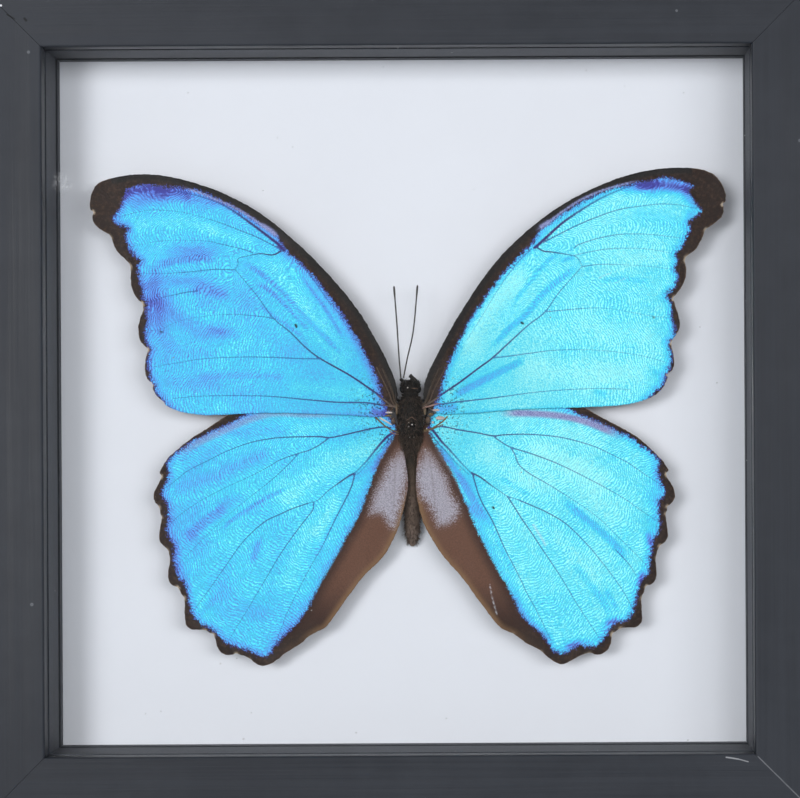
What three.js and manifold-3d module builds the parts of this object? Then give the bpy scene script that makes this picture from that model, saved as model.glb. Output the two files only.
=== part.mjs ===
// A blue morpho butterfly, spread and set in a deep, glazed, black shadow-box frame.
// Millimetres, +Z up. The frame stands on its bottom edge, faces -Y, and its origin is the
// middle of its footprint. "Left" and "right" are as seen from the front.
import * as THREE from 'three';
import { mergeVertices } from 'three/addons/utils/BufferGeometryUtils.js';
import Module from 'manifold-3d';

// ---- Driving dimensions ------------------------------------------------------------------

const OUTER = 190; // outside edge to outside edge, both ways
const DEPTH = 32; // front face to the back of the rails
const FACE = 17; // width of a rail's face, from the outside edge to the sight edge
const LIP = 4; // thickness of the lip that the glass sits behind
const RABBET = 5; // how far the lip reaches over the rabbet
const EDGE_ROUND = 0.8; // outer front edge
const SIGHT_ROUND = 0.5; // sight edge
const ARC_STEPS = 3;
const MITRE_GAP = 0.05; // each strip stops this short of the mitre plane
const FIT = 0.3; // clearance between pieces that rest on each other

const GLASS_FRONT = 4.2; // depths below are measured back from the front face
const GLASS_BACK = 6.2;
const SPACER_FRONT = 6.4;
const GROOVE_FRONT = 18;
const GROOVE_BACK = 20.4;
const SPACER_BACK = 23.2;
const GROOVE_DEPTH = 2.2;
const BOARD_FRONT = 23.4;
const BOARD_BACK = 26.4;
const PANEL_FRONT = 26.7;
const PANEL_BACK = 29.7;

const POINT = { length: 10, width: 7, thickness: 0.6, spread: 45 };
const HANGER = { width: 44, height: 8, thickness: 0.8, teeth: 10, tooth: 1.6, drop: 14 };
const NAIL = { radius: 1.5, height: 0.7, inset: 4.5, sides: 12 };

const AXIS = { x: 2.1, z: 92.9 }; // the butterfly's body axis and wing-base height
const WING_DEPTH = 14.9; // the wing plane, back from the front face
const WING_THICKNESS = 0.4;
const WING_LAYER = 1.0; // the hindwings lie this far behind the forewings
const CAMBER = 1.1; // rise of a wing at mid-span
const HALF_SPAN = 72;
const BODY_SIDES = 14;

const HALF = OUTER / 2;
const OPENING = OUTER - 2 * (FACE - RABBET); // between the rabbet walls

// ---- Wing outlines -----------------------------------------------------------------------
// [outward from the body axis, up], starting at the base and running along the leading edge,
// around the tip and back along the scalloped outer margin.

const FOREWING_LEFT = [
  [3.1, 2.3], [3.4, 6.4], [6.2, 13.1], [12.2, 23.3], [19.8, 32.3], [27.3, 39.6], [34.8, 45.3],
  [43.9, 49.9], [53.8, 52.8], [61.5, 53.4], [67.2, 52.5], [70.0, 51.5], [71.4, 49.5], [72.0, 47.0],
  [71.8, 45.6], [71.1, 45.0], [71.4, 43.9], [71.1, 42.7], [70.0, 41.4], [68.9, 40.7], [67.8, 40.0],
  [67.1, 39.2], [66.5, 37.4], [65.6, 35.9], [64.2, 34.5], [62.8, 32.8], [62.8, 30.4], [62.6, 28.1],
  [61.9, 26.3], [61.0, 25.1], [60.2, 24.5], [60.0, 23.7], [60.1, 22.6], [60.8, 20.7], [61.1, 18.5],
  [60.7, 16.1], [59.6, 14.7], [59.0, 14.1], [59.1, 13.1], [59.5, 11.7], [59.7, 9.9], [59.5, 8.3],
  [58.9, 7.1], [58.2, 6.6], [57.9, 6.0], [57.8, 4.8], [56.9, 3.4], [55.7, 2.4], [54.3, 1.1],
  [50.4, -0.3], [44.6, -0.8], [31.1, -0.4], [16.0, -0.9], [8.1, -1.4], [5.2, -0.9],
];
const FOREWING_RIGHT = [
  [3.1, 2.3], [3.5, 7.1], [6.5, 13.3], [11.0, 21.4], [17.8, 31.4], [23.8, 37.9], [31.3, 44.0],
  [38.1, 48.1], [47.1, 52.0], [56.1, 54.0], [63.5, 54.2], [67.7, 53.2], [69.9, 51.3], [71.1, 48.7],
  [71.2, 47.3], [71.0, 46.6], [70.4, 46.0], [70.7, 45.3], [70.4, 43.6], [69.5, 42.5], [67.9, 41.3],
  [66.6, 40.4], [66.1, 39.2], [65.1, 37.1], [64.0, 35.6], [62.6, 34.6], [62.0, 33.9], [61.9, 33.0],
  [62.2, 31.3], [62.0, 29.5], [61.4, 27.9], [60.6, 26.7], [59.6, 25.5], [59.2, 24.8], [59.4, 24.1],
  [59.8, 22.8], [60.4, 21.2], [60.7, 19.4], [60.6, 18.2], [60.0, 17.0], [59.2, 15.8], [58.7, 15.0],
  [58.8, 13.9], [59.1, 12.5], [59.4, 10.6], [59.0, 8.9], [58.3, 8.2], [57.8, 7.6], [57.8, 6.9],
  [56.8, 4.8], [54.7, 3.0], [51.7, 1.8], [47.0, 0.9], [38.1, 0.5], [24.6, 0.1], [12.2, -0.8],
  [5.9, -0.5],
];
const HINDWING_LEFT = [
  [4.3, -3.2], [5.9, -2.0], [11.5, -0.9], [20.5, 0.2], [29.5, 0.6], [36.3, -0.2], [40.7, -1.4],
  [45.3, -3.5], [49.8, -6.3], [54.3, -10.1], [56.2, -12.7], [56.6, -13.7], [56.2, -14.5],
  [56.6, -15.6], [57.8, -18.0], [58.0, -19.4], [57.6, -20.5], [56.7, -21.5], [56.5, -22.8],
  [56.2, -23.9], [56.6, -26.5], [56.8, -28.1], [56.5, -29.4], [55.4, -30.5], [54.7, -31.5],
  [54.4, -33.5], [54.8, -36.2], [54.6, -38.2], [53.8, -39.1], [52.6, -39.6], [51.7, -41.2],
  [51.1, -42.2], [51.1, -45.4], [50.9, -47.6], [50.3, -48.6], [49.2, -49.1], [46.8, -49.1],
  [45.7, -49.7], [44.7, -50.2], [44.1, -51.8], [43.8, -53.0], [43.1, -54.1], [41.8, -54.8],
  [40.4, -54.8], [39.6, -54.5], [37.9, -55.0], [36.4, -55.7], [35.1, -56.8], [33.6, -57.3],
  [31.7, -56.8], [30.1, -55.8], [28.8, -54.7], [26.7, -53.4], [24.9, -52.3], [23.0, -50.6],
  [20.9, -49.5], [19.0, -48.3], [15.1, -42.9], [10.8, -37.3], [7.1, -33.7], [5.0, -30.8],
  [2.6, -25.4], [1.0, -18.9], [0.7, -15.6], [1.6, -10.9], [2.9, -8.2], [3.1, -5.9],
];
const HINDWING_RIGHT = [
  [4.3, -3.2], [5.9, -2.0], [12.2, -1.6], [20.1, -0.6], [29.1, 0.2], [34.7, 0.4], [37.8, 0.2],
  [42.7, -1.6], [47.0, -3.9], [51.7, -6.8], [56.2, -11.1], [57.4, -12.6], [58.0, -13.8],
  [57.5, -14.5], [57.8, -15.5], [59.1, -17.8], [59.4, -19.7], [58.8, -21.0], [57.7, -22.0],
  [57.6, -22.8], [57.3, -23.6], [57.6, -26.2], [57.8, -28.3], [57.5, -29.4], [56.8, -30.2],
  [55.9, -30.8], [55.2, -32.7], [55.0, -34.0], [55.2, -37.3], [54.7, -38.8], [53.8, -39.5],
  [52.8, -39.9], [52.2, -41.4], [51.7, -42.8], [51.9, -46.1], [51.8, -47.6], [51.1, -48.6],
  [50.0, -49.1], [47.2, -49.2], [46.1, -49.9], [45.1, -50.6], [44.8, -52.6], [43.9, -54.3],
  [42.5, -55.1], [41.2, -55.1], [40.2, -54.8], [38.8, -55.0], [37.0, -55.8], [35.6, -56.6],
  [34.1, -57.3], [32.8, -57.1], [30.3, -55.5], [29.0, -54.2], [26.1, -52.7], [24.3, -51.4],
  [22.8, -50.3], [21.2, -49.7], [19.3, -48.3], [15.6, -43.5], [11.1, -37.3], [8.7, -34.7],
  [6.2, -31.5], [2.9, -25.7], [1.3, -19.6], [1.1, -15.0], [1.8, -10.6], [3.1, -7.6], [3.2, -5.4],
];
const FOREWING_HUB = [40, 26]; // every margin point is in plain sight of its wing's hub
const HINDWING_HUB = [33, -25];
const RING_SCALES = [1, 0.76, 0.52, 0.28];

// ---- Body --------------------------------------------------------------------------------
// Cross-sections from head to tail: [up, half width, half depth, back from the wing plane].

const BODY_SECTIONS = [
  [6.9, 0.8, 0.7, -0.4], [6.3, 1.5, 1.3, -0.3], [5.3, 1.9, 1.6, -0.2], [4.3, 1.7, 1.5, -0.1],
  [3.7, 1.2, 1.2, 0.1], [3.1, 1.9, 1.9, 0.1], [1.2, 2.6, 2.7, 0.2], [-1.5, 2.7, 3.0, 0.3],
  [-4.4, 2.5, 2.7, 0.5], [-6.6, 1.9, 2.1, 0.9], [-8.0, 1.3, 1.4, 1.8], [-10, 1.6, 1.6, 3.4],
  [-14, 1.9, 1.7, 3.9], [-19, 2.0, 1.7, 4.6], [-24, 1.8, 1.6, 5.3], [-28, 1.3, 1.3, 5.9],
  [-30.6, 0.6, 0.6, 6.3],
];
const EYE = { radius: 0.8, out: 1.75, up: 4.8, back: -0.3 };
const LIMB_RADIUS = 0.35;
// Limbs of one side: [outward, back from the wing plane, up].
const PALP = [[0.6, -1.0, 5.8], [0.7, -1.9, 6.6], [0.6, -2.1, 7.6]];
const FORELEG = [[1.2, 0.2, 4.6], [1.9, -0.9, 5.6], [1.3, -1.4, 6.9], [0.4, -1.5, 7.6]];
const MIDLEG = [[1.6, 1.8, 1.4], [3.6, 4.4, 2.6], [3.4, 6.6, -0.2], [3.0, 7.6, -3.2]];
const HINDLEG = [[1.6, 2.0, -3.6], [3.8, 4.6, -5.0], [3.2, 6.6, -7.8], [2.6, 7.7, -10.4]];
const ANTENNA_LEFT = [[2.1, -1.4, 7.3], [2.5, -1.7, 12.6], [3.1, -2.0, 19.5], [3.9, -2.2, 27.4]];
const ANTENNA_RIGHT = [[-1.5, -1.4, 7.3], [-0.6, -1.7, 11.7], [0.7, -2.0, 17.9], [1.5, -2.2, 27.5]];
const ANTENNA_RADIUS = 0.2;
const CLUB = { radius: 0.32, length: 3 };
const BLOCK = { width: 3.2, height: 6, up: -1.5 };

// ---- Materials ---------------------------------------------------------------------------

/** A plain material: colour, roughness, metalness. */
function paint(color, roughness, metalness = 0) {
  return new THREE.MeshStandardMaterial({ color, roughness, metalness });
}

const blackPaint = paint('#454a55', 0.45);
const clearGlass = new THREE.MeshStandardMaterial({
  color: '#eef4f4', roughness: 0.03, transparent: true, opacity: 0.2,
});
const blackCard = paint('#4b525c', 0.7);
const whiteCard = paint('#e4e6ee', 0.9);
const hardboard = paint('#7a5a3c', 0.85);
const steel = paint('#b4b6b8', 0.4, 0.9);
const cork = paint('#c9b28c', 0.95);
const wingBlue = paint('#4fc0f2', 0.45);
const fur = paint('#2e2824', 0.95);
const chitin = paint('#3a3532', 0.6);

// ---- Helpers -----------------------------------------------------------------------------

const wasm = await Module();
wasm.setup();

/** Turns a closed three.js geometry into a manifold solid. */
function toSolid(geometry) {
  const bare = geometry.clone();
  bare.deleteAttribute('normal');
  bare.deleteAttribute('uv');
  const merged = mergeVertices(bare, 1e-5);
  return new wasm.Manifold(new wasm.Mesh({
    numProp: 3,
    vertProperties: new Float32Array(merged.attributes.position.array),
    triVerts: new Uint32Array(merged.index.array),
  }));
}

/** Joins closed geometries into one. */
function fuse(geometries) {
  const joined = geometries.map(toSolid).reduce((sum, solid) => sum.add(solid)).getMesh();
  const geometry = new THREE.BufferGeometry();
  geometry.setAttribute('position', new THREE.BufferAttribute(joined.vertProperties, 3));
  geometry.setIndex(new THREE.BufferAttribute(joined.triVerts, 1));
  geometry.computeVertexNormals();
  return geometry;
}

/** Names a mesh and adds it to a group. */
function addMesh(group, name, geometry, material) {
  const mesh = new THREE.Mesh(geometry, material);
  mesh.name = name;
  group.add(mesh);
  return mesh;
}

/** Points of a quarter circle about [cx, cy], from angle start, in degrees, turning forward. */
function quarterArc(cx, cy, radius, start) {
  const points = [];
  for (let i = 0; i <= ARC_STEPS; i += 1) {
    const angle = THREE.MathUtils.degToRad(start + (90 * i) / ARC_STEPS);
    points.push([cx + radius * Math.cos(angle), cy + radius * Math.sin(angle)]);
  }
  return points;
}

/** A round tube along a smooth curve through the given points. */
function tube(points, radius, steps, sides = 8) {
  const ring = new THREE.Shape();
  for (let i = 0; i < sides; i += 1) {
    const angle = (2 * Math.PI * i) / sides;
    const corner = [radius * Math.cos(angle), radius * Math.sin(angle)];
    if (i === 0) ring.moveTo(...corner);
    else ring.lineTo(...corner);
  }
  const path = new THREE.CatmullRomCurve3(points.map((point) => new THREE.Vector3(...point)));
  return new THREE.ExtrudeGeometry(ring, { steps, extrudePath: path, bevelEnabled: false });
}

/** Mirrors a point of one side: side is 1 for the right and -1 for the left. */
function onSide(side, [out, back, up]) {
  return [side * out, back, up];
}

// ---- Frame -------------------------------------------------------------------------------

/**
 * A straight strip of the frame with mitred ends, lying along the bottom, about the frame's
 * centre. The section is [in from the outside edge, back from the front face].
 */
function mitredStrip(section) {
  const shape = new THREE.Shape(section.map((point) => new THREE.Vector2(...point)));
  const strip = new THREE.ExtrudeGeometry(shape, { depth: 1, bevelEnabled: false });
  const position = strip.attributes.position;
  for (let i = 0; i < position.count; i += 1) {
    const inward = position.getX(i);
    const back = position.getY(i);
    const along = 1 - 2 * position.getZ(i);
    position.setXYZ(i, along * (HALF - inward - MITRE_GAP), back - DEPTH / 2, inward - HALF);
  }
  strip.computeVertexNormals();
  return strip;
}

/** Adds the same strip on all four sides of the frame. */
function addFourSides(group, prefix, section, material) {
  ['bottom', 'left', 'top', 'right'].forEach((side, turn) => {
    const mesh = addMesh(group, `${prefix}_${side}`, mitredStrip(section), material);
    mesh.rotation.y = (turn * Math.PI) / 2;
  });
}

/** The L-shaped section of a rail, with its lip in front of the rabbet. */
function railSection() {
  return [
    ...quarterArc(EDGE_ROUND, EDGE_ROUND, EDGE_ROUND, 180),
    ...quarterArc(FACE - SIGHT_ROUND, SIGHT_ROUND, SIGHT_ROUND, 270),
    [FACE, LIP],
    [FACE - RABBET, LIP],
    [FACE - RABBET, DEPTH],
    [0, DEPTH],
  ];
}

/** The section of a spacer strip, with its shadow groove near the board. */
function spacerSection() {
  const outside = FACE - RABBET + FIT;
  return [
    [outside, SPACER_FRONT],
    [FACE, SPACER_FRONT],
    [FACE, GROOVE_FRONT],
    [FACE - GROOVE_DEPTH, GROOVE_FRONT],
    [FACE - GROOVE_DEPTH, GROOVE_BACK],
    [FACE, GROOVE_BACK],
    [FACE, SPACER_BACK],
    [outside, SPACER_BACK],
  ];
}

/** A square sheet that drops into the rabbet, between two depths. */
function addSheet(group, name, front, back, material) {
  const size = OPENING - 2 * FIT;
  const sheet = addMesh(group, name, new THREE.BoxGeometry(size, back - front, size), material);
  sheet.position.y = (front + back) / 2 - DEPTH / 2;
}

/** Two flat pointed tabs on each side, lying on the backing panel. */
function addFramerPoints(group) {
  const { length, width, thickness, spread } = POINT;
  const tab = new THREE.Shape([
    new THREE.Vector2(-width / 2, 0),
    new THREE.Vector2(width / 2, 0),
    new THREE.Vector2(width / 2, length * 0.6),
    new THREE.Vector2(0, length),
    new THREE.Vector2(-width / 2, length * 0.6),
  ]);
  const wall = HALF - (FACE - RABBET) - FIT;
  for (let i = 0; i < 8; i += 1) {
    const arm = new THREE.Group();
    arm.rotation.y = (Math.floor(i / 2) * Math.PI) / 2;
    const geometry = new THREE.ExtrudeGeometry(tab, { depth: thickness, bevelEnabled: false });
    const mesh = addMesh(arm, `framer_point_${i + 1}`, geometry, steel);
    mesh.position.set(i % 2 ? spread : -spread, PANEL_BACK + FIT + thickness - DEPTH / 2, -wall);
    mesh.rotation.x = Math.PI / 2;
    group.add(arm);
  }
}

/** The saw-tooth hanger near the top of the backing panel, with its two nails. */
function addHanger(group) {
  const { width, height, thickness, teeth, tooth, drop } = HANGER;
  const plate = new THREE.Shape();
  plate.moveTo(-width / 2, 0);
  plate.lineTo(width / 2, 0);
  plate.lineTo(width / 2, -height);
  const flat = (width - teeth * tooth) / 2;
  for (let i = 0; i < teeth; i += 1) {
    const start = width / 2 - flat - i * tooth;
    plate.lineTo(start, -height);
    plate.lineTo(start - tooth / 2, -height + tooth);
  }
  plate.lineTo(-width / 2 + flat, -height);
  plate.lineTo(-width / 2, -height);
  const geometry = new THREE.ExtrudeGeometry(plate, { depth: thickness, bevelEnabled: false });
  const top = OPENING / 2 - drop;
  const back = PANEL_BACK + FIT + thickness - DEPTH / 2;
  const hanger = addMesh(group, 'hanger', geometry, steel);
  hanger.rotation.x = Math.PI / 2;
  hanger.position.set(0, back, top);
  for (const [name, side] of [['hanger_nail_left', -1], ['hanger_nail_right', 1]]) {
    const head = new THREE.CylinderGeometry(NAIL.radius, NAIL.radius, NAIL.height, NAIL.sides);
    const nail = addMesh(group, name, head, steel);
    const across = side * (width / 2 - NAIL.inset);
    nail.position.set(across, back + FIT / 2 + NAIL.height / 2, top - height / 2);
  }
}

function buildFrame() {
  const frame = new THREE.Group();
  frame.position.z = HALF;
  addFourSides(frame, 'rail', railSection(), blackPaint);
  addFourSides(frame, 'spacer', spacerSection(), blackCard);
  addSheet(frame, 'glass', GLASS_FRONT, GLASS_BACK, clearGlass);
  addSheet(frame, 'mount_board', BOARD_FRONT, BOARD_BACK, whiteCard);
  addSheet(frame, 'backing_panel', PANEL_FRONT, PANEL_BACK, hardboard);
  addFramerPoints(frame);
  addHanger(frame);
  return frame;
}

// ---- Butterfly ---------------------------------------------------------------------------

/** How far a wing stands in front of the wing plane, at a distance out from the body. */
function camberAt(out) {
  return CAMBER * Math.sin(Math.PI * Math.min(Math.max(out / HALF_SPAN, 0), 1));
}

/**
 * A thin cambered wing: rings of points between the margin and a hub, on its front and its
 * back, joined around the margin. Side is 1 for a right wing and -1 for a left one.
 */
function wingGeometry(outline, hub, side, back) {
  const positions = [];
  const index = [];
  const count = outline.length;
  const perFace = count * RING_SCALES.length + 1;
  const addPoint = (out, up, face) => {
    positions.push(side * out, back - camberAt(out) + (face * WING_THICKNESS) / 2, up);
  };
  const addTriangle = (a, b, c, flip) => index.push(...(flip ? [a, c, b] : [a, b, c]));
  [-1, 1].forEach((face, layer) => {
    const flip = (face < 0) === (side > 0);
    const first = layer * perFace;
    RING_SCALES.forEach((scale) => outline.forEach(([out, up]) => addPoint(
      hub[0] + (out - hub[0]) * scale,
      hub[1] + (up - hub[1]) * scale,
      face,
    )));
    addPoint(hub[0], hub[1], face);
    for (let i = 0; i < count; i += 1) {
      const next = (i + 1) % count;
      for (let ring = 0; ring < RING_SCALES.length - 1; ring += 1) {
        const outer = first + ring * count;
        const inner = outer + count;
        addTriangle(outer + i, outer + next, inner + next, flip);
        addTriangle(outer + i, inner + next, inner + i, flip);
      }
      const last = first + (RING_SCALES.length - 1) * count;
      addTriangle(last + i, last + next, first + perFace - 1, flip);
    }
  });
  for (let i = 0; i < count; i += 1) {
    const next = (i + 1) % count;
    addTriangle(i, perFace + i, perFace + next, side > 0);
    addTriangle(i, perFace + next, next, side > 0);
  }
  const geometry = new THREE.BufferGeometry();
  geometry.setAttribute('position', new THREE.Float32BufferAttribute(positions, 3));
  geometry.setIndex(index);
  geometry.computeVertexNormals();
  return geometry;
}

/** The body from head to tail, a loft through its oval cross-sections. */
function trunkGeometry() {
  const positions = [];
  const index = [];
  for (const [up, halfWidth, halfDepth, back] of BODY_SECTIONS) {
    for (let i = 0; i < BODY_SIDES; i += 1) {
      const angle = (2 * Math.PI * i) / BODY_SIDES;
      positions.push(halfWidth * Math.cos(angle), back + halfDepth * Math.sin(angle), up);
    }
  }
  for (let ring = 0; ring < BODY_SECTIONS.length - 1; ring += 1) {
    for (let i = 0; i < BODY_SIDES; i += 1) {
      const a = ring * BODY_SIDES + i;
      const b = ring * BODY_SIDES + ((i + 1) % BODY_SIDES);
      index.push(a, a + BODY_SIDES, b, b, a + BODY_SIDES, b + BODY_SIDES);
    }
  }
  const last = (BODY_SECTIONS.length - 1) * BODY_SIDES;
  for (let i = 1; i < BODY_SIDES - 1; i += 1) {
    index.push(0, i, i + 1);
    index.push(last, last + i + 1, last + i);
  }
  const geometry = new THREE.BufferGeometry();
  geometry.setAttribute('position', new THREE.Float32BufferAttribute(positions, 3));
  geometry.setIndex(index);
  return geometry;
}

/** Head, thorax, abdomen, eyes, palps and legs, all in one. */
function bodyGeometry() {
  const parts = [trunkGeometry()];
  for (const side of [-1, 1]) {
    const eye = new THREE.SphereGeometry(EYE.radius, 12, 8);
    eye.translate(side * EYE.out, EYE.back, EYE.up);
    parts.push(eye);
    for (const limb of [PALP, FORELEG, MIDLEG, HINDLEG]) {
      parts.push(tube(limb.map((point) => onSide(side, point)), LIMB_RADIUS, 8, 6));
    }
  }
  return fuse(parts);
}

/** A thin antenna with a slight club at its tip. */
function antennaGeometry(points) {
  const stem = tube(points, ANTENNA_RADIUS, 18);
  const club = new THREE.SphereGeometry(CLUB.radius, 8, 6);
  club.scale(1, 1, CLUB.length / (2 * CLUB.radius));
  const tip = new THREE.Vector3(...points[points.length - 1]);
  const towards = tip.clone().sub(new THREE.Vector3(...points[points.length - 2])).normalize();
  club.applyQuaternion(new THREE.Quaternion().setFromUnitVectors(new THREE.Vector3(0, 0, 1), towards));
  club.translate(...tip.addScaledVector(towards, -CLUB.length / 2 + CLUB.radius).toArray());
  return fuse([stem, club]);
}

/** The small block that carries the butterfly on the mount board. */
function addMountingBlock(group) {
  const thorax = Math.max(...BODY_SECTIONS.map(([, , halfDepth, back]) => (back < 1 ? halfDepth + back : 0)));
  const front = thorax + FIT;
  const rear = BOARD_FRONT - WING_DEPTH - FIT;
  const box = new THREE.BoxGeometry(BLOCK.width, rear - front, BLOCK.height);
  const block = addMesh(group, 'mounting_block', box, cork);
  block.position.set(0, (front + rear) / 2, BLOCK.up);
}

function buildButterfly() {
  const butterfly = new THREE.Group();
  butterfly.position.set(AXIS.x, WING_DEPTH - DEPTH / 2, AXIS.z);
  const wings = [
    ['forewing_left', FOREWING_LEFT, FOREWING_HUB, -1, 0],
    ['forewing_right', FOREWING_RIGHT, FOREWING_HUB, 1, 0],
    ['hindwing_left', HINDWING_LEFT, HINDWING_HUB, -1, WING_LAYER],
    ['hindwing_right', HINDWING_RIGHT, HINDWING_HUB, 1, WING_LAYER],
  ];
  for (const [name, outline, hub, side, back] of wings) {
    addMesh(butterfly, name, wingGeometry(outline, hub, side, back), wingBlue);
  }
  addMesh(butterfly, 'body', bodyGeometry(), fur);
  const left = ANTENNA_LEFT.map((point) => onSide(-1, point));
  addMesh(butterfly, 'antenna_left', antennaGeometry(left), chitin);
  addMesh(butterfly, 'antenna_right', antennaGeometry(ANTENNA_RIGHT), chitin);
  addMountingBlock(butterfly);
  return butterfly;
}

// ---- Assembly ----------------------------------------------------------------------------

const specimen = new THREE.Group();
specimen.add(buildFrame(), buildButterfly());

export default specimen;
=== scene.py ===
"""Looks of the framed blue morpho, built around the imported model.

World units are metres: the frame stands on z = 0, faces -Y, and +X is the viewer's right. Shapes are
given in millimetres and brought to metres when a piece's mesh is made. A wing's own plan is drawn as
(outward from the body axis, upward from the wing base).
"""
import logging
import math
from collections.abc import Iterator
from contextlib import contextmanager
from dataclasses import astuple, dataclass
from enum import Enum

import bmesh
import bpy
import numpy as np
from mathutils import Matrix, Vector
from mathutils.geometry import delaunay_2d_cdt
from mathutils.kdtree import KDTree


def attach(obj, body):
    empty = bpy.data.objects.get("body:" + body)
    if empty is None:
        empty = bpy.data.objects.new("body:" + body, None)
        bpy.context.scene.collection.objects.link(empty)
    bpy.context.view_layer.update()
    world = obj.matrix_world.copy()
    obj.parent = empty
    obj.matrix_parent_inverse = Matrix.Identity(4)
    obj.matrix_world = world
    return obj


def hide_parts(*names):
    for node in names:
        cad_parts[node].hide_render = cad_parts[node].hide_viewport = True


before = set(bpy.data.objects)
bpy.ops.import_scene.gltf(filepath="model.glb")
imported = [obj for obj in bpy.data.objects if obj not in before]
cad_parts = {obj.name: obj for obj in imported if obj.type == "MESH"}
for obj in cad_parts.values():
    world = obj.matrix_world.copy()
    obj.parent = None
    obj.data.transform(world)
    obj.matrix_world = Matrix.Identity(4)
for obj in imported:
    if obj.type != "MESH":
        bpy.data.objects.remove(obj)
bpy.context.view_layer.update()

log = logging.getLogger("specimen")

MM = 0.001
BODY = "root"
SEED = 20261

WING_PLANE = -1.1  # y of the forewings' base plane
AXIS_X = 2.1  # x of the body's axis
AXIS_Z = 92.9  # z of the wing bases
HALF_SPAN = 72.0  # from the axis to a wing tip
CAMBER = 1.1  # how far a wing arches toward the viewer

Point = tuple[float, float]
Path = tuple[Point, ...]
Place = tuple[float, float, float]
Colour = tuple[float, float, float]


class Side(Enum):
    """Which side of the body a piece is on, as seen from the front."""

    LEFT = -1
    RIGHT = 1


class Grain(Enum):
    """Which way the grain of a rail runs."""

    LEVEL = "level"
    UPRIGHT = "upright"


def dim(colour: Colour, by: float) -> Colour:
    """Makes a colour darker or lighter."""
    return tuple(by * part for part in colour)


# ---- Shader building ----------------------------------------------------------------------------


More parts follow.
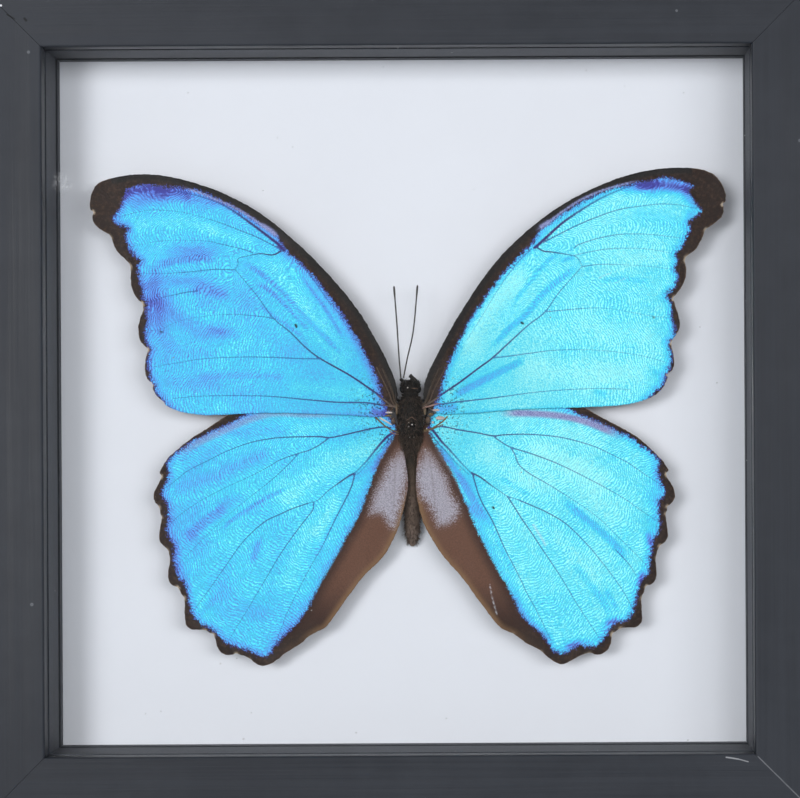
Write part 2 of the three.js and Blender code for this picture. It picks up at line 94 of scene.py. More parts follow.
class Shader:
    """A node tree being filled: each method adds one node and gives back its output."""

    def __init__(self, tree: bpy.types.NodeTree) -> None:
        """Takes the tree that the nodes go into."""
        self.tree = tree

    def node(self, kind: str, feeds: dict | None = None, **settings: object) -> bpy.types.Node:
        """Adds a node.

        Args:
            kind: The node's type without its ShaderNode prefix.
            feeds: Values or sockets for its inputs, by name or number.
            settings: Properties of the node itself.

        Returns:
            The new node.
        """
        made = self.tree.nodes.new("ShaderNode" + kind)
        for name, value in settings.items():
            setattr(made, name, value)
        for key, value in (feeds or {}).items():
            self.feed(made.inputs[key], value)
        return made

    def feed(self, socket: bpy.types.NodeSocket, value: object) -> None:
        """Links a socket to an input, or sets the input to a plain value."""
        if isinstance(value, bpy.types.NodeSocket):
            self.tree.links.new(value, socket)
        elif socket.type == "RGBA":
            socket.default_value = (*value, 1.0)[:4]
        else:
            socket.default_value = value

    def math(self, operation: str, a: object, b: object = 0.0, clamp: bool = False) -> bpy.types.NodeSocket:
        """Works out one sum of two values."""
        return self.node("Math", {0: a, 1: b}, operation=operation, use_clamp=clamp).outputs[0]

    def times(self, a: object, b: object) -> bpy.types.NodeSocket:
        """Multiplies two values."""
        return self.math("MULTIPLY", a, b)

    def plus(self, a: object, b: object) -> bpy.types.NodeSocket:
        """Adds two values."""
        return self.math("ADD", a, b)

    def minus(self, a: object, b: object) -> bpy.types.NodeSocket:
        """Takes one value from another."""
        return self.math("SUBTRACT", a, b)

    def swing(self, value: object, width: object) -> bpy.types.NodeSocket:
        """Turns a value from 0 to 1 into one that swings about zero, this far in all."""
        return self.times(self.minus(value, 0.5), width)

    def mix(self, amount: object, a: object, b: object, blend: str = "MIX") -> bpy.types.NodeSocket:
        """Mixes two colours."""
        made = self.node("Mix", {0: amount, 6: a, 7: b}, data_type="RGBA", blend_type=blend)
        return made.outputs[2]

    def remap(self, value: object, low: float, high: float, to_low: float = 0.0, to_high: float = 1.0,
              smooth: bool = True) -> bpy.types.NodeSocket:
        """Brings a value from one range to another, with soft or straight steps."""
        kind = "SMOOTHSTEP" if smooth else "LINEAR"
        feeds = {0: value, 1: low, 2: high, 3: to_low, 4: to_high}
        return self.node("MapRange", feeds, interpolation_type=kind).outputs[0]

    def here(self) -> bpy.types.NodeSocket:
        """Gives Object coordinates."""
        return self.node("TexCoord").outputs["Object"]

    def axis(self, vector: object, number: int) -> bpy.types.NodeSocket:
        """Gives one of a vector's three parts."""
        return self.node("SeparateXYZ", {0: vector}).outputs[number]

    def between(self, value: object, low: float, high: float, a: object, b: object) -> bpy.types.NodeSocket:
        """Goes from one colour to another while a value goes from low to high."""
        return self.mix(self.remap(value, low, high), a, b)

    def place(self, scale: Place = (1, 1, 1), move: Place = (0, 0, 0), turn: Place = (0, 0, 0),
              source: bpy.types.NodeSocket | None = None) -> bpy.types.NodeSocket:
        """Gives Object coordinates, or another vector, through a Mapping node."""
        start = source or self.here()
        return self.node("Mapping", {"Vector": start, "Scale": scale, "Location": move, "Rotation": turn}).outputs[0]

    def noise(self, vector: object, scale: float, detail: float = 2.0, roughness: float = 0.5,
              distortion: float = 0.0) -> bpy.types.NodeSocket:
        """Smooth noise from 0 to 1."""
        feeds = {"Vector": vector, "Scale": scale, "Detail": detail, "Roughness": roughness, "Distortion": distortion}
        return self.node("TexNoise", feeds).outputs[0]

    def attribute(self, name: str) -> bpy.types.NodeSocket:
        """Reads one of the piece's own attributes."""
        return self.node("Attribute", attribute_name=name).outputs["Fac"]

    def ramp(self, value: object, stops: list[tuple[float, Colour]]) -> bpy.types.NodeSocket:
        """Turns a value into a colour along a ramp of stops."""
        made = self.node("ValToRGB", {0: value})
        elements = made.color_ramp.elements
        while len(elements) < len(stops):
            elements.new(0.5)
        for element, (position, colour) in zip(elements, stops):
            element.position = position
            element.color = (*colour, 1.0)
        return made.outputs[0]

    def dress(self, shader: bpy.types.Node, colour: object, roughness: object, normal: object,
              specular: float = 0.5) -> None:
        """Feeds a Principled shader its colour, roughness, normal and specular level."""
        for name, value in (("Base Color", colour), ("Roughness", roughness), ("Normal", normal),
                            ("Specular IOR Level", specular)):
            self.feed(shader.inputs[name], value)

    def bump(self, height: object, strength: float, distance: float) -> bpy.types.NodeSocket:
        """A normal from a height."""
        return self.node("Bump", {"Height": height, "Strength": strength, "Distance": distance}).outputs[0]

    def group(self, tree: bpy.types.NodeTree, feeds: dict) -> bpy.types.Node:
        """Places a shared effect with its own values."""
        made = self.tree.nodes.new("ShaderNodeGroup")
        made.node_tree = tree
        for key, value in feeds.items():
            self.feed(made.inputs[key], value)
        return made


def new_effect(name: str, inputs: dict[str, object], outputs: list[str]) -> tuple[Shader, dict, bpy.types.Node]:
    """Starts a shared shader effect.

    Args:
        name: The group's name.
        inputs: Each input's name and starting value; None makes it a vector.
        outputs: The names of its value outputs.

    Returns:
        The builder, the group's inputs by name, and the node that takes its outputs.
    """
    tree = bpy.data.node_groups.new(name, "ShaderNodeTree")
    for label, value in inputs.items():
        kind = "NodeSocketVector" if value is None else "NodeSocketFloat"
        socket = tree.interface.new_socket(label, in_out="INPUT", socket_type=kind)
        if value is not None:
            socket.default_value = value
    for label in outputs:
        tree.interface.new_socket(label, in_out="OUTPUT", socket_type="NodeSocketFloat")
    build = Shader(tree)
    entry = tree.nodes.new("NodeGroupInput")
    leave = tree.nodes.new("NodeGroupOutput")
    return build, {label: entry.outputs[label] for label in inputs}, leave


class Effects:
    """The shader effects that more than one finish uses, each built once."""

    def __init__(self) -> None:
        """Builds all the groups."""
        self.mottle = self._mottle()
        self.grain = self._grain()
        self.dust = self._dust()
        self.rows = self._rows()

    def tone(self, build: Shader, scale: float, low: float = 0.0, high: float = 1.0) -> bpy.types.NodeSocket:
        """Places the mottle on Object coordinates and gives its tone."""
        return build.group(self.mottle, {"Vector": build.place(), "Scale": scale, "Low": low, "High": high}).outputs[0]

    def specks(self, build: Shader, scale: float, size: float, share: float) -> bpy.types.NodeSocket:
        """Places the dust on Object coordinates and gives its mask."""
        feeds = {"Vector": build.place(), "Scale": scale, "Size": size, "Share": share}
        return build.group(self.dust, feeds).outputs[0]

    @staticmethod
    def _mottle() -> bpy.types.NodeTree:
        """Broad and fine tone changes, from Low to High."""
        build, given, leave = new_effect(
            "mottle", {"Vector": None, "Scale": 50.0, "Low": 0.8, "High": 1.2}, ["Tone"])
        broad = build.noise(given["Vector"], given["Scale"], 4.0, 0.6)
        fine = build.noise(given["Vector"], build.times(given["Scale"], 9.0), 2.0, 0.6)
        both = build.plus(build.times(broad, 0.65), build.times(fine, 0.35))
        spread = build.node("MapRange", {0: both, 1: 0.3, 2: 0.7, 3: given["Low"], 4: given["High"]})
        build.feed(leave.inputs["Tone"], spread.outputs[0])
        return build.tree

    @staticmethod
    def _grain() -> bpy.types.NodeTree:
        """Long fine streaks of wood grain along the vector's X, with a height for them."""
        build, given, leave = new_effect(
            "grain", {"Vector": None, "Scale": 1.0, "Depth": 1.0}, ["Tone", "Height"])
        streaks, bands = (
            build.node("VectorMath", {0: given["Vector"], 1: stretch}, operation="MULTIPLY").outputs[0]
            for stretch in ((14.0, 900.0, 900.0), (5.0, 130.0, 130.0)))
        lines = build.noise(streaks, given["Scale"], 3.0, 0.65, 0.4)
        broad = build.noise(bands, given["Scale"], 2.0, 0.5, 0.8)
        both = build.plus(build.times(lines, 0.55), build.times(broad, 0.45))
        build.feed(leave.inputs["Tone"], both)
        build.feed(leave.inputs["Height"], build.times(lines, given["Depth"]))
        return build.tree

    @staticmethod
    def _dust() -> bpy.types.NodeTree:
        """Scattered specks: 1 on a speck and 0 elsewhere."""
        build, given, leave = new_effect(
            "dust", {"Vector": None, "Scale": 100.0, "Size": 0.05, "Share": 0.1}, ["Mask"])
        cells = build.node("TexVoronoi", {"Vector": given["Vector"], "Scale": given["Scale"]})
        near = build.math("LESS_THAN", cells.outputs["Distance"], given["Size"])
        pick = build.node("SeparateColor", {0: cells.outputs["Color"]}).outputs[0]
        build.feed(leave.inputs["Mask"], build.times(near, build.math("LESS_THAN", pick, given["Share"])))
        return build.tree

    @staticmethod
    def _rows() -> bpy.types.NodeTree:
        """Rows of scales across a wing: Reach runs along the veins, in millimetres."""
        build, given, leave = new_effect(
            "scale_rows", {"Vector": None, "Reach": 0.0, "Pitch": 0.65, "Waver": 1.0}, ["Row", "Grit"])
        sway = build.noise(given["Vector"], 260.0, 2.0, 0.55)
        fork = build.noise(given["Vector"], 900.0, 1.0, 0.5)
        shift = build.plus(build.swing(sway, 3.4), build.swing(fork, 1.5))
        along = build.plus(given["Reach"], build.times(shift, given["Waver"]))
        turn = build.times(build.math("DIVIDE", along, given["Pitch"]), 2 * math.pi)
        wave = build.times(build.plus(build.math("SINE", turn), 1.0), 0.5)
        grit = build.noise(given["Vector"], 4200.0, 1.0, 0.6)
        build.feed(leave.inputs["Row"], wave)
        build.feed(leave.inputs["Grit"], grit)
        return build.tree


def new_material(name: str) -> tuple[bpy.types.Material, Shader, bpy.types.Node]:
    """Makes an empty material.

    Returns:
        The material, its builder, and its Principled shader, already joined to the output.
    """
    material = bpy.data.materials.new(name)
    material.use_nodes = True
    material.node_tree.nodes.clear()
    build = Shader(material.node_tree)
    principled = build.node("BsdfPrincipled")
    build.node("OutputMaterial", {"Surface": principled.outputs[0]})
    return material, build, principled


# ---- Finishes -----------------------------------------------------------------------------------


@dataclass(frozen=True)
class Chip:
    """A small mark on the rails' front: its two ends as (x, z) in millimetres, its half width and its colour."""

    start: Point
    end: Point
    wide: float
    colour: Colour

    def mask(self, build: Shader) -> bpy.types.NodeSocket:
        """Gives 1 on the mark and 0 away from it."""
        (x0, z0), (x1, z1) = self.start, self.end
        half = math.hypot(x1 - x0, z1 - z0) / 2
        turn = math.atan2(z1 - z0, x1 - x0)
        here = build.place(move=(-(x0 + x1) / 2 * MM, 0.0, -(z0 + z1) / 2 * MM))
        along = build.place(turn=(0.0, turn, 0.0), scale=(1, 0, 1), source=here)
        sway = build.swing(build.noise(along, 1100.0, 2.0, 0.6), 0.9 * self.wide * MM)
        parts = build.node("SeparateXYZ", {0: build.node("VectorMath", {0: along}, operation="ABSOLUTE").outputs[0]})
        past = build.math("MAXIMUM", build.minus(parts.outputs[0], half * MM), 0.0)
        side = build.plus(parts.outputs[2], sway)
        away = build.math("SQRT", build.plus(build.times(past, past), build.times(side, side)))
        return build.remap(away, self.wide * MM, 0.5 * self.wide * MM)


@dataclass(frozen=True)
class PaintedWood:
    """Satin blue-black paint that lets a faint lengthwise grain show."""

    grain: Grain
    colour: Colour = (0.017, 0.020, 0.027)
    worn: Colour = (0.042, 0.047, 0.058)
    gloss: float = 0.42
    chips: tuple[Chip, ...] = (
        Chip((-87.1, 182.1), (-86.7, 182.1), 0.28, (0.75, 0.77, 0.80)),
        Chip((-81.6, 179.2), (-81.2, 178.8), 0.35, (0.004, 0.004, 0.005)),
        Chip((-85.4, 180.1), (-83.8, 179.2), 0.22, (0.004, 0.004, 0.005)),
        Chip((78.6, 16.4), (88.4, 6.6), 0.16, (0.20, 0.21, 0.23)),
        Chip((71.6, 16.3), (74.2, 15.9), 0.20, (0.30, 0.31, 0.33)),
        Chip((74.2, 15.9), (76.4, 15.3), 0.16, (0.26, 0.27, 0.29)),
    )

    def material(self, effects: Effects) -> bpy.types.Material:
        """Builds the painted-wood material for one direction of grain."""
        made, build, paint = new_material(f"black_wood_{self.grain.value}")
        turn = (0, math.pi / 2, 0) if self.grain is Grain.UPRIGHT else (0, 0, 0)
        here = build.place(turn=turn)
        grain = build.group(effects.grain, {"Vector": here, "Scale": 1.0, "Depth": 1.0})
        cloud = effects.tone(build, 18.0)
        streak = build.remap(grain.outputs["Tone"], 0.35, 0.72, 0.0, 0.42)
        tone = build.mix(streak, self.colour, self.worn)
        tone = build.mix(build.remap(cloud, 0.2, 0.9, 0.0, 0.25), tone, self.worn)
        specks = effects.specks(build, 260.0, 0.10, 0.05)
        tone = build.mix(build.times(specks, 0.5), tone, (0.16, 0.17, 0.19))
        for chip in self.chips:
            tone = build.mix(build.times(chip.mask(build), 0.85), tone, chip.colour)
        build.dress(paint, tone, build.remap(grain.outputs["Tone"], 0.3, 0.75, self.gloss, self.gloss + 0.16),
                    build.bump(grain.outputs["Height"], 0.35, 0.00012), 0.45)
        return made


@dataclass(frozen=True)
class BlackCard:
    """Matt black strips between the glass and the board, with painted shade in their recess."""

    colour: Colour = (0.036, 0.040, 0.051)
    roughness: float = 0.62

    def material(self, effects: Effects) -> bpy.types.Material:
        """Builds the black-card material."""
        made, build, card = new_material("black_card")
        fibre = effects.tone(build, 420.0)
        tone = build.mix(fibre, dim(self.colour, 0.75), dim(self.colour, 1.25))
        specks = effects.specks(build, 420.0, 0.12, 0.05)
        tone = build.mix(build.times(specks, 0.6), tone, (0.4, 0.41, 0.44))
        # Painted shade: the band of object depth from about 2 to 4.4 mm, where the strips' shadow gap lies, is darkened
        # to 0.3 of the card's colour.
        depth = build.axis(build.here(), 1)
        groove_shade = build.times(build.remap(depth, 0.0019, 0.0021), build.remap(depth, 0.0045, 0.0043))
        tone = build.mix(groove_shade, tone, dim(self.colour, 0.3))
        build.dress(card, tone, self.roughness, build.bump(fibre, 0.3, 0.00006))
        return made


@dataclass(frozen=True)
class WhiteCard:
    """Matt cool-white mount board."""

    colour: Colour = (0.77, 0.785, 0.85)

    def material(self, effects: Effects) -> bpy.types.Material:
        """Builds the white-card material."""
        made, build, card = new_material("white_card")
        fibre = effects.tone(build, 60.0)
        tone = build.mix(fibre, dim(self.colour, 0.975), self.colour)
        specks = effects.specks(build, 190.0, 0.05, 0.06)
        tone = build.mix(build.times(specks, 0.35), tone, (0.3, 0.28, 0.27))
        build.dress(card, tone, 0.9, build.bump(fibre, 0.2, 0.00004), 0.2)
        return made


@dataclass(frozen=True)
class ClearGlass:
    """A clear float-glass pane with one faint fingerprint and a little dust."""

    smudge: Colour = (-0.0741, -0.0118, 0.1437)
    smudge_radius: float = 0.0032

    def material(self, effects: Effects) -> bpy.types.Material:
        """Builds the glass, which lets lamps through to what is behind it."""
        made, build, glass = new_material("clear_glass")
        glass.inputs["Base Color"].default_value = (0.985, 0.995, 0.992, 1.0)
        glass.inputs["Roughness"].default_value = 0.0
        glass.inputs["IOR"].default_value = 1.5
        glass.inputs["Transmission Weight"].default_value = 1.0
        clear = build.node("BsdfTransparent", {"Color": (0.96, 0.965, 0.965)})
        path = build.node("LightPath")
        lamps = build.math("MAXIMUM", path.outputs["Is Shadow Ray"], path.outputs["Is Diffuse Ray"])
        pane = build.node("MixShader", {0: lamps, 1: glass.outputs[0], 2: clear.outputs[0]})
        film = build.node("BsdfDiffuse", {"Color": (0.85, 0.87, 0.9)})
        here = build.here()
        away = build.node("VectorMath", {0: here, 1: self.smudge}, operation="DISTANCE").outputs["Value"]
        spot = build.remap(away, self.smudge_radius, self.smudge_radius * 0.45)
        ridges = build.noise(build.place(scale=(1, 1, 0.5), turn=(0, 0.6, 0)), 2600.0, 2.0, 0.6, 0.6)
        print_mask = build.times(spot, build.remap(ridges, 0.45, 0.68))
        dust = effects.specks(build, 300.0, 0.045, 0.10)
        dirt = build.math("MAXIMUM", build.times(print_mask, 0.17), build.times(dust, 0.3))
        both = build.node("MixShader", {0: dirt, 1: pane.outputs[0], 2: film.outputs[0]})
        output = next(n for n in made.node_tree.nodes if n.type == "OUTPUT_MATERIAL")
        build.feed(output.inputs["Surface"], both.outputs[0])
        return made


@dataclass(frozen=True)
class Hardboard:
    """Smooth brown hardboard."""

    colour: Colour = (0.22, 0.12, 0.06)

    def material(self, effects: Effects) -> bpy.types.Material:
        """Builds the hardboard material."""
        made, build, board = new_material("hardboard")
        fibre = effects.tone(build, 320.0)
        tone = build.mix(fibre, dim(self.colour, 0.72), dim(self.colour, 1.3))
        flecks = build.noise(build.place(scale=(1, 1, 4)), 900.0, 2.0, 0.6)
        tone = build.mix(build.remap(flecks, 0.6, 0.72, 0.0, 0.5), tone, (0.09, 0.045, 0.022))
        build.dress(board, tone, build.remap(fibre, 0.0, 1.0, 0.5, 0.75), build.bump(fibre, 0.35, 0.00008))
        return made


@dataclass(frozen=True)
class BareSteel:
    """Zinc-plated sheet steel with a fine brush."""

    colour: Colour = (0.55, 0.56, 0.58)

    def material(self, effects: Effects) -> bpy.types.Material:
        """Builds the steel material."""
        made, build, steel = new_material("steel")
        brush = build.noise(build.place(scale=(60, 60, 2600)), 1.0, 3.0, 0.6)
        blotch = effects.tone(build, 240.0)
        tone = build.mix(blotch, dim(self.colour, 0.8), self.colour)
        steel.inputs["Metallic"].default_value = 1.0
        build.dress(steel, tone, build.remap(brush, 0.3, 0.7, 0.28, 0.46), build.bump(brush, 0.2, 0.00003))
        return made


@dataclass(frozen=True)
class RawCork:
    """The block of cork under the thorax."""

    colour: Colour = (0.48, 0.34, 0.20)

    def material(self, effects: Effects) -> bpy.types.Material:
        """Builds the cork material."""
        made, build, cork = new_material("cork")
        cells = build.node("TexVoronoi", {"Vector": build.place(), "Scale": 1500.0})
        pores = build.remap(cells.outputs["Distance"], 0.1, 0.7)
        tone = build.mix(pores, self.colour, dim(self.colour, 0.45))
        lumps = effects.tone(build, 500.0, 0.0, 0.5)
        build.dress(cork, build.mix(lumps, tone, (0.20, 0.12, 0.07)), 0.95, build.bump(pores, 0.5, 0.0001))
        return made


@dataclass(frozen=True)
class WingScales:
    """Blue upper side of a wing. The value lightness_and_sheen is 0 for the deeper blue and 1 for the palest cyan; it
    is the blue's own tone and also painted sheen.
    """

    name: str
    lightness_and_sheen: float
    row_shading: float
    pitch: float = 0.64
    waver: float = 0.55

    def material(self, effects: Effects) -> bpy.types.Material:
        """Builds the upper-side material from the wing's attributes."""
        made, build, scales = new_material(f"wing_scales_{self.name}")
        here = build.here()
        reach, inner, edge = (build.attribute(name) for name in ("reach", "inner", "edge"))
        rows = build.group(effects.rows, {"Vector": here, "Reach": reach, "Pitch": self.pitch, "Waver": self.waver})
        row, grit = rows.outputs["Row"], rows.outputs["Grit"]
        patchy = build.noise(here, 170.0, 3.0, 0.6)
        broken = build.noise(here, 1500.0, 2.0, 0.6)
        # Painted highlight and shade along the rows of scales: row_shading and the ripple make the rows lighter and
        # darker in the blue.
        ripple = build.times(build.attribute("ripple"), build.remap(patchy, 0.28, 0.60, 0.45, 1.0))
        ripple = build.times(ripple, build.remap(broken, 0.36, 0.60, 0.25, 1.25))
        lift = build.swing(row, build.times(ripple, self.row_shading))
        speck = build.swing(grit, 0.85)
        cloud = build.swing(build.noise(here, 95.0, 2.0, 0.5), 0.34)
        near_margin = build.times(build.remap(edge, 2.2, 0.0, 0.0, 0.34), build.remap(inner, 0.1, 0.8, 1.0, 0.5))
        # Painted sheen: the right wings' higher lightness_and_sheen paints them paler and more cyan than the left ones.
        place = build.plus(0.44 + 0.36 * self.lightness_and_sheen, build.plus(lift, build.plus(speck, cloud)))
        # tint: violet and cyan patches of the wing's own, together with painted cyan highlights and painted violet
        # shade of its sheen; above 0 goes violet, below 0 cyan.
        tint = build.times(build.attribute("tint"), build.remap(grit, 0.35, 0.65, 0.8, 1.2))
        place = build.minus(place, build.times(tint, 0.24))
        # Painted shade: crease darkens the blue along the folds.
        place = build.minus(place, build.times(build.attribute("crease"), 0.27))
        place = build.math("SUBTRACT", place, near_margin, clamp=True)
        blue = build.ramp(place, [
            (0.00, (0.055, 0.055, 0.340)), (0.14, (0.105, 0.175, 0.640)), (0.30, (0.105, 0.330, 0.850)),
            (0.45, (0.095, 0.450, 0.915)), (0.60, (0.066, 0.580, 0.945)), (0.75, (0.075, 0.740, 0.960)),
            (0.88, (0.170, 0.820, 0.960)), (1.00, (0.340, 0.920, 0.960))])
        # Painted shade and highlight: the blue is scaled by 0.80 to 1.16 along the scale rows and the grit.
        shade = build.remap(build.plus(build.times(row, ripple), build.times(grit, 0.8)),
                            0.15, 1.25, 0.80, 1.16, smooth=False)
        blue = build.node("VectorMath", {0: blue, "Scale": shade}, operation="SCALE").outputs[0]
        gap = build.plus(build.attribute("vein_gap"), build.swing(grit, 0.6))
        strong = build.attribute("vein_tone")
        line = build.times(build.remap(gap, 1.35, 0.45), strong)
        ink = build.between(strong, 0.6, 1.0, (0.022, 0.065, 0.330), (0.038, 0.020, 0.150))
        blue = build.mix(line, blue, ink)
        dots = build.remap(build.noise(here, 2200.0, 1.0, 0.5), 0.585, 0.63)
        blue = build.mix(build.times(dots, build.attribute("base")), blue, (0.02, 0.05, 0.12))
        dark = self._margin(build, here, grit)
        tooth = build.noise(here, 1500.0, 2.0, 0.65)
        ragged = build.plus(edge, build.swing(tooth, build.remap(inner, 0.1, 0.7, 2.0, 0.7)))
        ragged = build.plus(ragged, build.swing(grit, 1.5))
        fringe = build.times(build.remap(ragged, 0.60, 0.05), build.remap(inner, 0.1, 0.8, 1.0, 0.35))
        violet = build.between(grit, 0.35, 0.65, (0.030, 0.024, 0.130), (0.080, 0.110, 0.520))
        upper = build.mix(fringe, blue, violet)
        upper = build.between(ragged, 0.14, -0.14, upper, dark)
        pale = build.between(grit, 0.35, 0.65, (0.15, 0.16, 0.39), (0.36, 0.39, 0.64))
        upper = build.mix(build.attribute("lilac"), upper, pale)
        mark = build.attribute("mark")
        upper = build.between(mark, 0.1, 0.9, upper, (0.016, 0.012, 0.018))
        upper = build.mix(build.remap(mark, -0.1, -0.9, 0.0, 0.8), upper, (0.62, 0.66, 0.74))
        height = build.plus(build.times(row, ripple), build.times(grit, 0.5))
        build.dress(scales, upper, build.remap(grit, 0.2, 0.8, 0.42, 0.6), build.bump(height, 0.5, 0.00006), 0.25)
        return made

    def _margin(self, build: Shader, here: bpy.types.NodeSocket, grit: bpy.types.NodeSocket) -> bpy.types.NodeSocket:
        """The dark margin with a painted highlight along its edge, the brown inner fold and its pale panel, as one
        colour.
        """
        rim = build.attribute("rim")
        flecks = build.noise(here, 1300.0, 3.0, 0.7)
        brown = build.between(flecks, 0.45, 0.75, (0.016, 0.008, 0.006), (0.060, 0.030, 0.016))
        black = build.between(flecks, 0.4, 0.8, (0.008, 0.007, 0.007), (0.022, 0.018, 0.016))
        # Painted highlight: pale brown along the last 0.2 mm of the edge, away from the costa, for light through the
        # thin margin.
        rim_highlight = build.mix(0.5, brown, (0.34, 0.24, 0.19))
        outer = build.minus(1.0, build.attribute("costa"))
        dark = build.mix(build.times(build.remap(rim, 0.20, 0.06), outer), brown, rim_highlight)
        dark = build.mix(build.times(build.remap(rim, 1.7, 0.9), build.attribute("costa")), dark, black)
        inner = build.attribute("inner")
        soft = build.between(grit, 0.3, 0.7, (0.102, 0.046, 0.029), (0.138, 0.065, 0.042))
        deep = build.between(grit, 0.3, 0.7, (0.024, 0.009, 0.006), (0.040, 0.016, 0.010))
        fold = build.between(inner, 0.20, 0.85, deep, soft)
        fold = build.mix(build.remap(build.attribute("edge"), -3.0, -0.2, 0.0, 0.85), fold, deep)
        height = build.axis(here, 2)
        golden = build.times(build.remap(rim, 1.6, 0.1, 0.0, 0.8), build.remap(height, 0.0770, 0.0700))
        fold = build.mix(golden, fold, (0.210, 0.120, 0.060))
        stipple = build.plus(build.attribute("panel"), build.swing(grit, 4.0))
        bloom = build.between(grit, 0.3, 0.7, (0.270, 0.250, 0.300), (0.430, 0.415, 0.490))
        bloom = build.between(height, 0.0780, 0.0850, bloom, (0.280, 0.240, 0.265))
        fold = build.mix(build.remap(stipple, -0.8, 1.8, 0.0, 0.95), fold, bloom)
        # Painted shade in the creases of the folded inner margin.
        fold = build.mix(build.times(build.attribute("crease"), 0.55), fold, (0.16, 0.13, 0.14))
        dark = build.between(inner, 0.0, 0.35, dark, fold)
        return build.mix(build.attribute("fringe"), dark, (0.62, 0.50, 0.38))


@dataclass(frozen=True)
class WingUnderside:
    """Brown underside with paler bands and ringed eye spots."""

    def material(self, effects: Effects) -> bpy.types.Material:
        """Builds the underside material."""
        made, build, under = new_material("wing_underside")
        here = build.here()
        mottle = effects.tone(build, 140.0)
        tone = build.mix(mottle, (0.075, 0.042, 0.026), (0.16, 0.10, 0.065))
        rim = build.attribute("rim")
        band = build.remap(build.math("ABSOLUTE", build.minus(rim, 3.2)), 0.9, 0.3)
        tone = build.mix(build.times(band, 0.6), tone, (0.36, 0.29, 0.21))
        cells = build.node("TexVoronoi", {"Vector": here, "Scale": 70.0})
        ring = build.ramp(cells.outputs["Distance"], [
            (0.0, (0.5, 0.5, 0.5)), (0.06, (0.02, 0.014, 0.012)), (0.22, (0.45, 0.28, 0.09)), (0.3, (0.1, 0.06, 0.04))])
        eye = build.times(build.remap(cells.outputs["Distance"], 0.3, 0.24), build.remap(rim, 5.0, 8.0))
        build.dress(under, build.mix(eye, tone, ring), 0.7, build.bump(mottle, 0.3, 0.00005))
        return made


@dataclass(frozen=True)
class BodyFur:
    """Skin and hair of the body; the tone attribute runs from dark skin to pale hinge plates."""

    def material(self, effects: Effects) -> bpy.types.Material:
        """Builds the body material."""
        made, build, fur = new_material("body_fur")
        here = build.here()
        tufts = build.noise(build.place(scale=(1, 1, 0.35)), 2200.0, 3.0, 0.6)
        tone = build.attribute("tone")
        colour = build.ramp(tone, [
            (0.00, (0.008, 0.007, 0.007)), (0.25, (0.022, 0.017, 0.012)), (0.45, (0.082, 0.054, 0.038)),
            (0.60, (0.135, 0.100, 0.085)), (0.72, (0.150, 0.100, 0.045)), (0.85, (0.260, 0.150, 0.125)),
            (1.00, (0.620, 0.570, 0.540))])
        spread = effects.tone(build, 1200.0, 0.6, 1.5)
        grey = build.node("CombineColor", {0: spread, 1: spread, 2: spread}).outputs[0]
        colour = build.mix(1.0, colour, grey, "MULTIPLY")
        build.dress(fur, colour, build.attribute("matt"), build.bump(tufts, 0.5, 0.00006), 0.25)
        return made


@dataclass(frozen=True)
class Chitin:
    """Dark, slightly glossy, ringed cuticle of the antennae."""

    colour: Colour = (0.030, 0.027, 0.026)

    def material(self, effects: Effects) -> bpy.types.Material:
        """Builds the cuticle material."""
        made, build, shell = new_material("chitin")
        rings = build.noise(build.place(scale=(0.2, 0.2, 1.0)), 4200.0, 1.0, 0.5)
        tone = build.between(rings, 0.4, 0.6, dim(self.colour, 0.7), dim(self.colour, 1.7))
        spots = effects.tone(build, 900.0, 0.0, 0.5)
        build.dress(shell, build.mix(spots, tone, (0.07, 0.06, 0.055)), 0.45, build.bump(rings, 0.4, 0.00003))
        return made


# ---- Modelling helpers --------------------------------------------------------------------------


def pick_only(*objects: bpy.types.Object) -> None:
    """Selects these objects alone and makes the first one active."""
    bpy.ops.object.select_all(action="DESELECT")
    for each in objects:
        each.select_set(True)
    bpy.context.view_layer.objects.active = objects[0]


@contextmanager
def edited(piece: bpy.types.Object) -> Iterator[None]:
    """Opens a piece in edit mode with all of it selected, and closes it again."""
    pick_only(piece)
    bpy.ops.object.mode_set(mode="EDIT")
    bpy.ops.mesh.select_all(action="SELECT")
    yield
    bpy.ops.object.mode_set(mode="OBJECT")


def paint(piece: bpy.types.Object, tones: dict[str, object]) -> None:
    """Gives a piece attributes, each as one value or as a value for every vertex."""
    for label, values in tones.items():
        spread = np.full(len(piece.data.vertices), values, np.float32)
        piece.data.attributes.new(label, "FLOAT", "POINT").data.foreach_set("value", spread)


def smooth_path(points: list, step: float, closed: bool = False) -> np.ndarray:
    """Runs a smooth curve through points.

    Args:
        points: The points, of two or three coordinates.
        step: The distance between the points of the result.
        closed: True if the last point joins the first.

    Returns:
        Evenly spaced points along a Catmull-Rom curve.
    """
    given = np.asarray(points, float)
    if closed:
        padded = np.vstack([given[-1:], given, given[:2]])
    else:
        padded = np.vstack([2 * given[0] - given[1], given, 2 * given[-1] - given[-2]])
    t = np.linspace(0, 1, 12, endpoint=False)[:, None]
    pieces = []
    for a, b, c, d in zip(padded[:-3], padded[1:-2], padded[2:-1], padded[3:]):
        pieces.append(0.5 * (2 * b + (c - a) * t + (2 * a - 5 * b + 4 * c - d) * t**2 + (3 * b - a - 3 * c + d) * t**3))
    dense = np.vstack(pieces + [padded[-2:-1]])
    run = np.concatenate([[0], np.cumsum(np.linalg.norm(np.diff(dense, axis=0), axis=1))])
    count = max(2, int(round(run[-1] / step)))
    even = np.linspace(0, run[-1], count + 1)
    curve = np.stack([np.interp(even, run, dense[:, k]) for k in range(dense.shape[1])], axis=1)
    return curve[:-1] if closed else curve


def inside(points: np.ndarray, loop: np.ndarray) -> np.ndarray:
    """Tells which points lie inside a closed loop."""
    x, y = points[:, 0], points[:, 1]
    within = np.zeros(len(points), bool)
    for (x0, y0), (x1, y1) in zip(loop, np.roll(loop, -1, axis=0)):
        crosses = (y0 > y) != (y1 > y)
        within ^= crosses & (x < (x1 - x0) * (y - y0) / ((y1 - y0) or 1e-12) + x0)
    return within


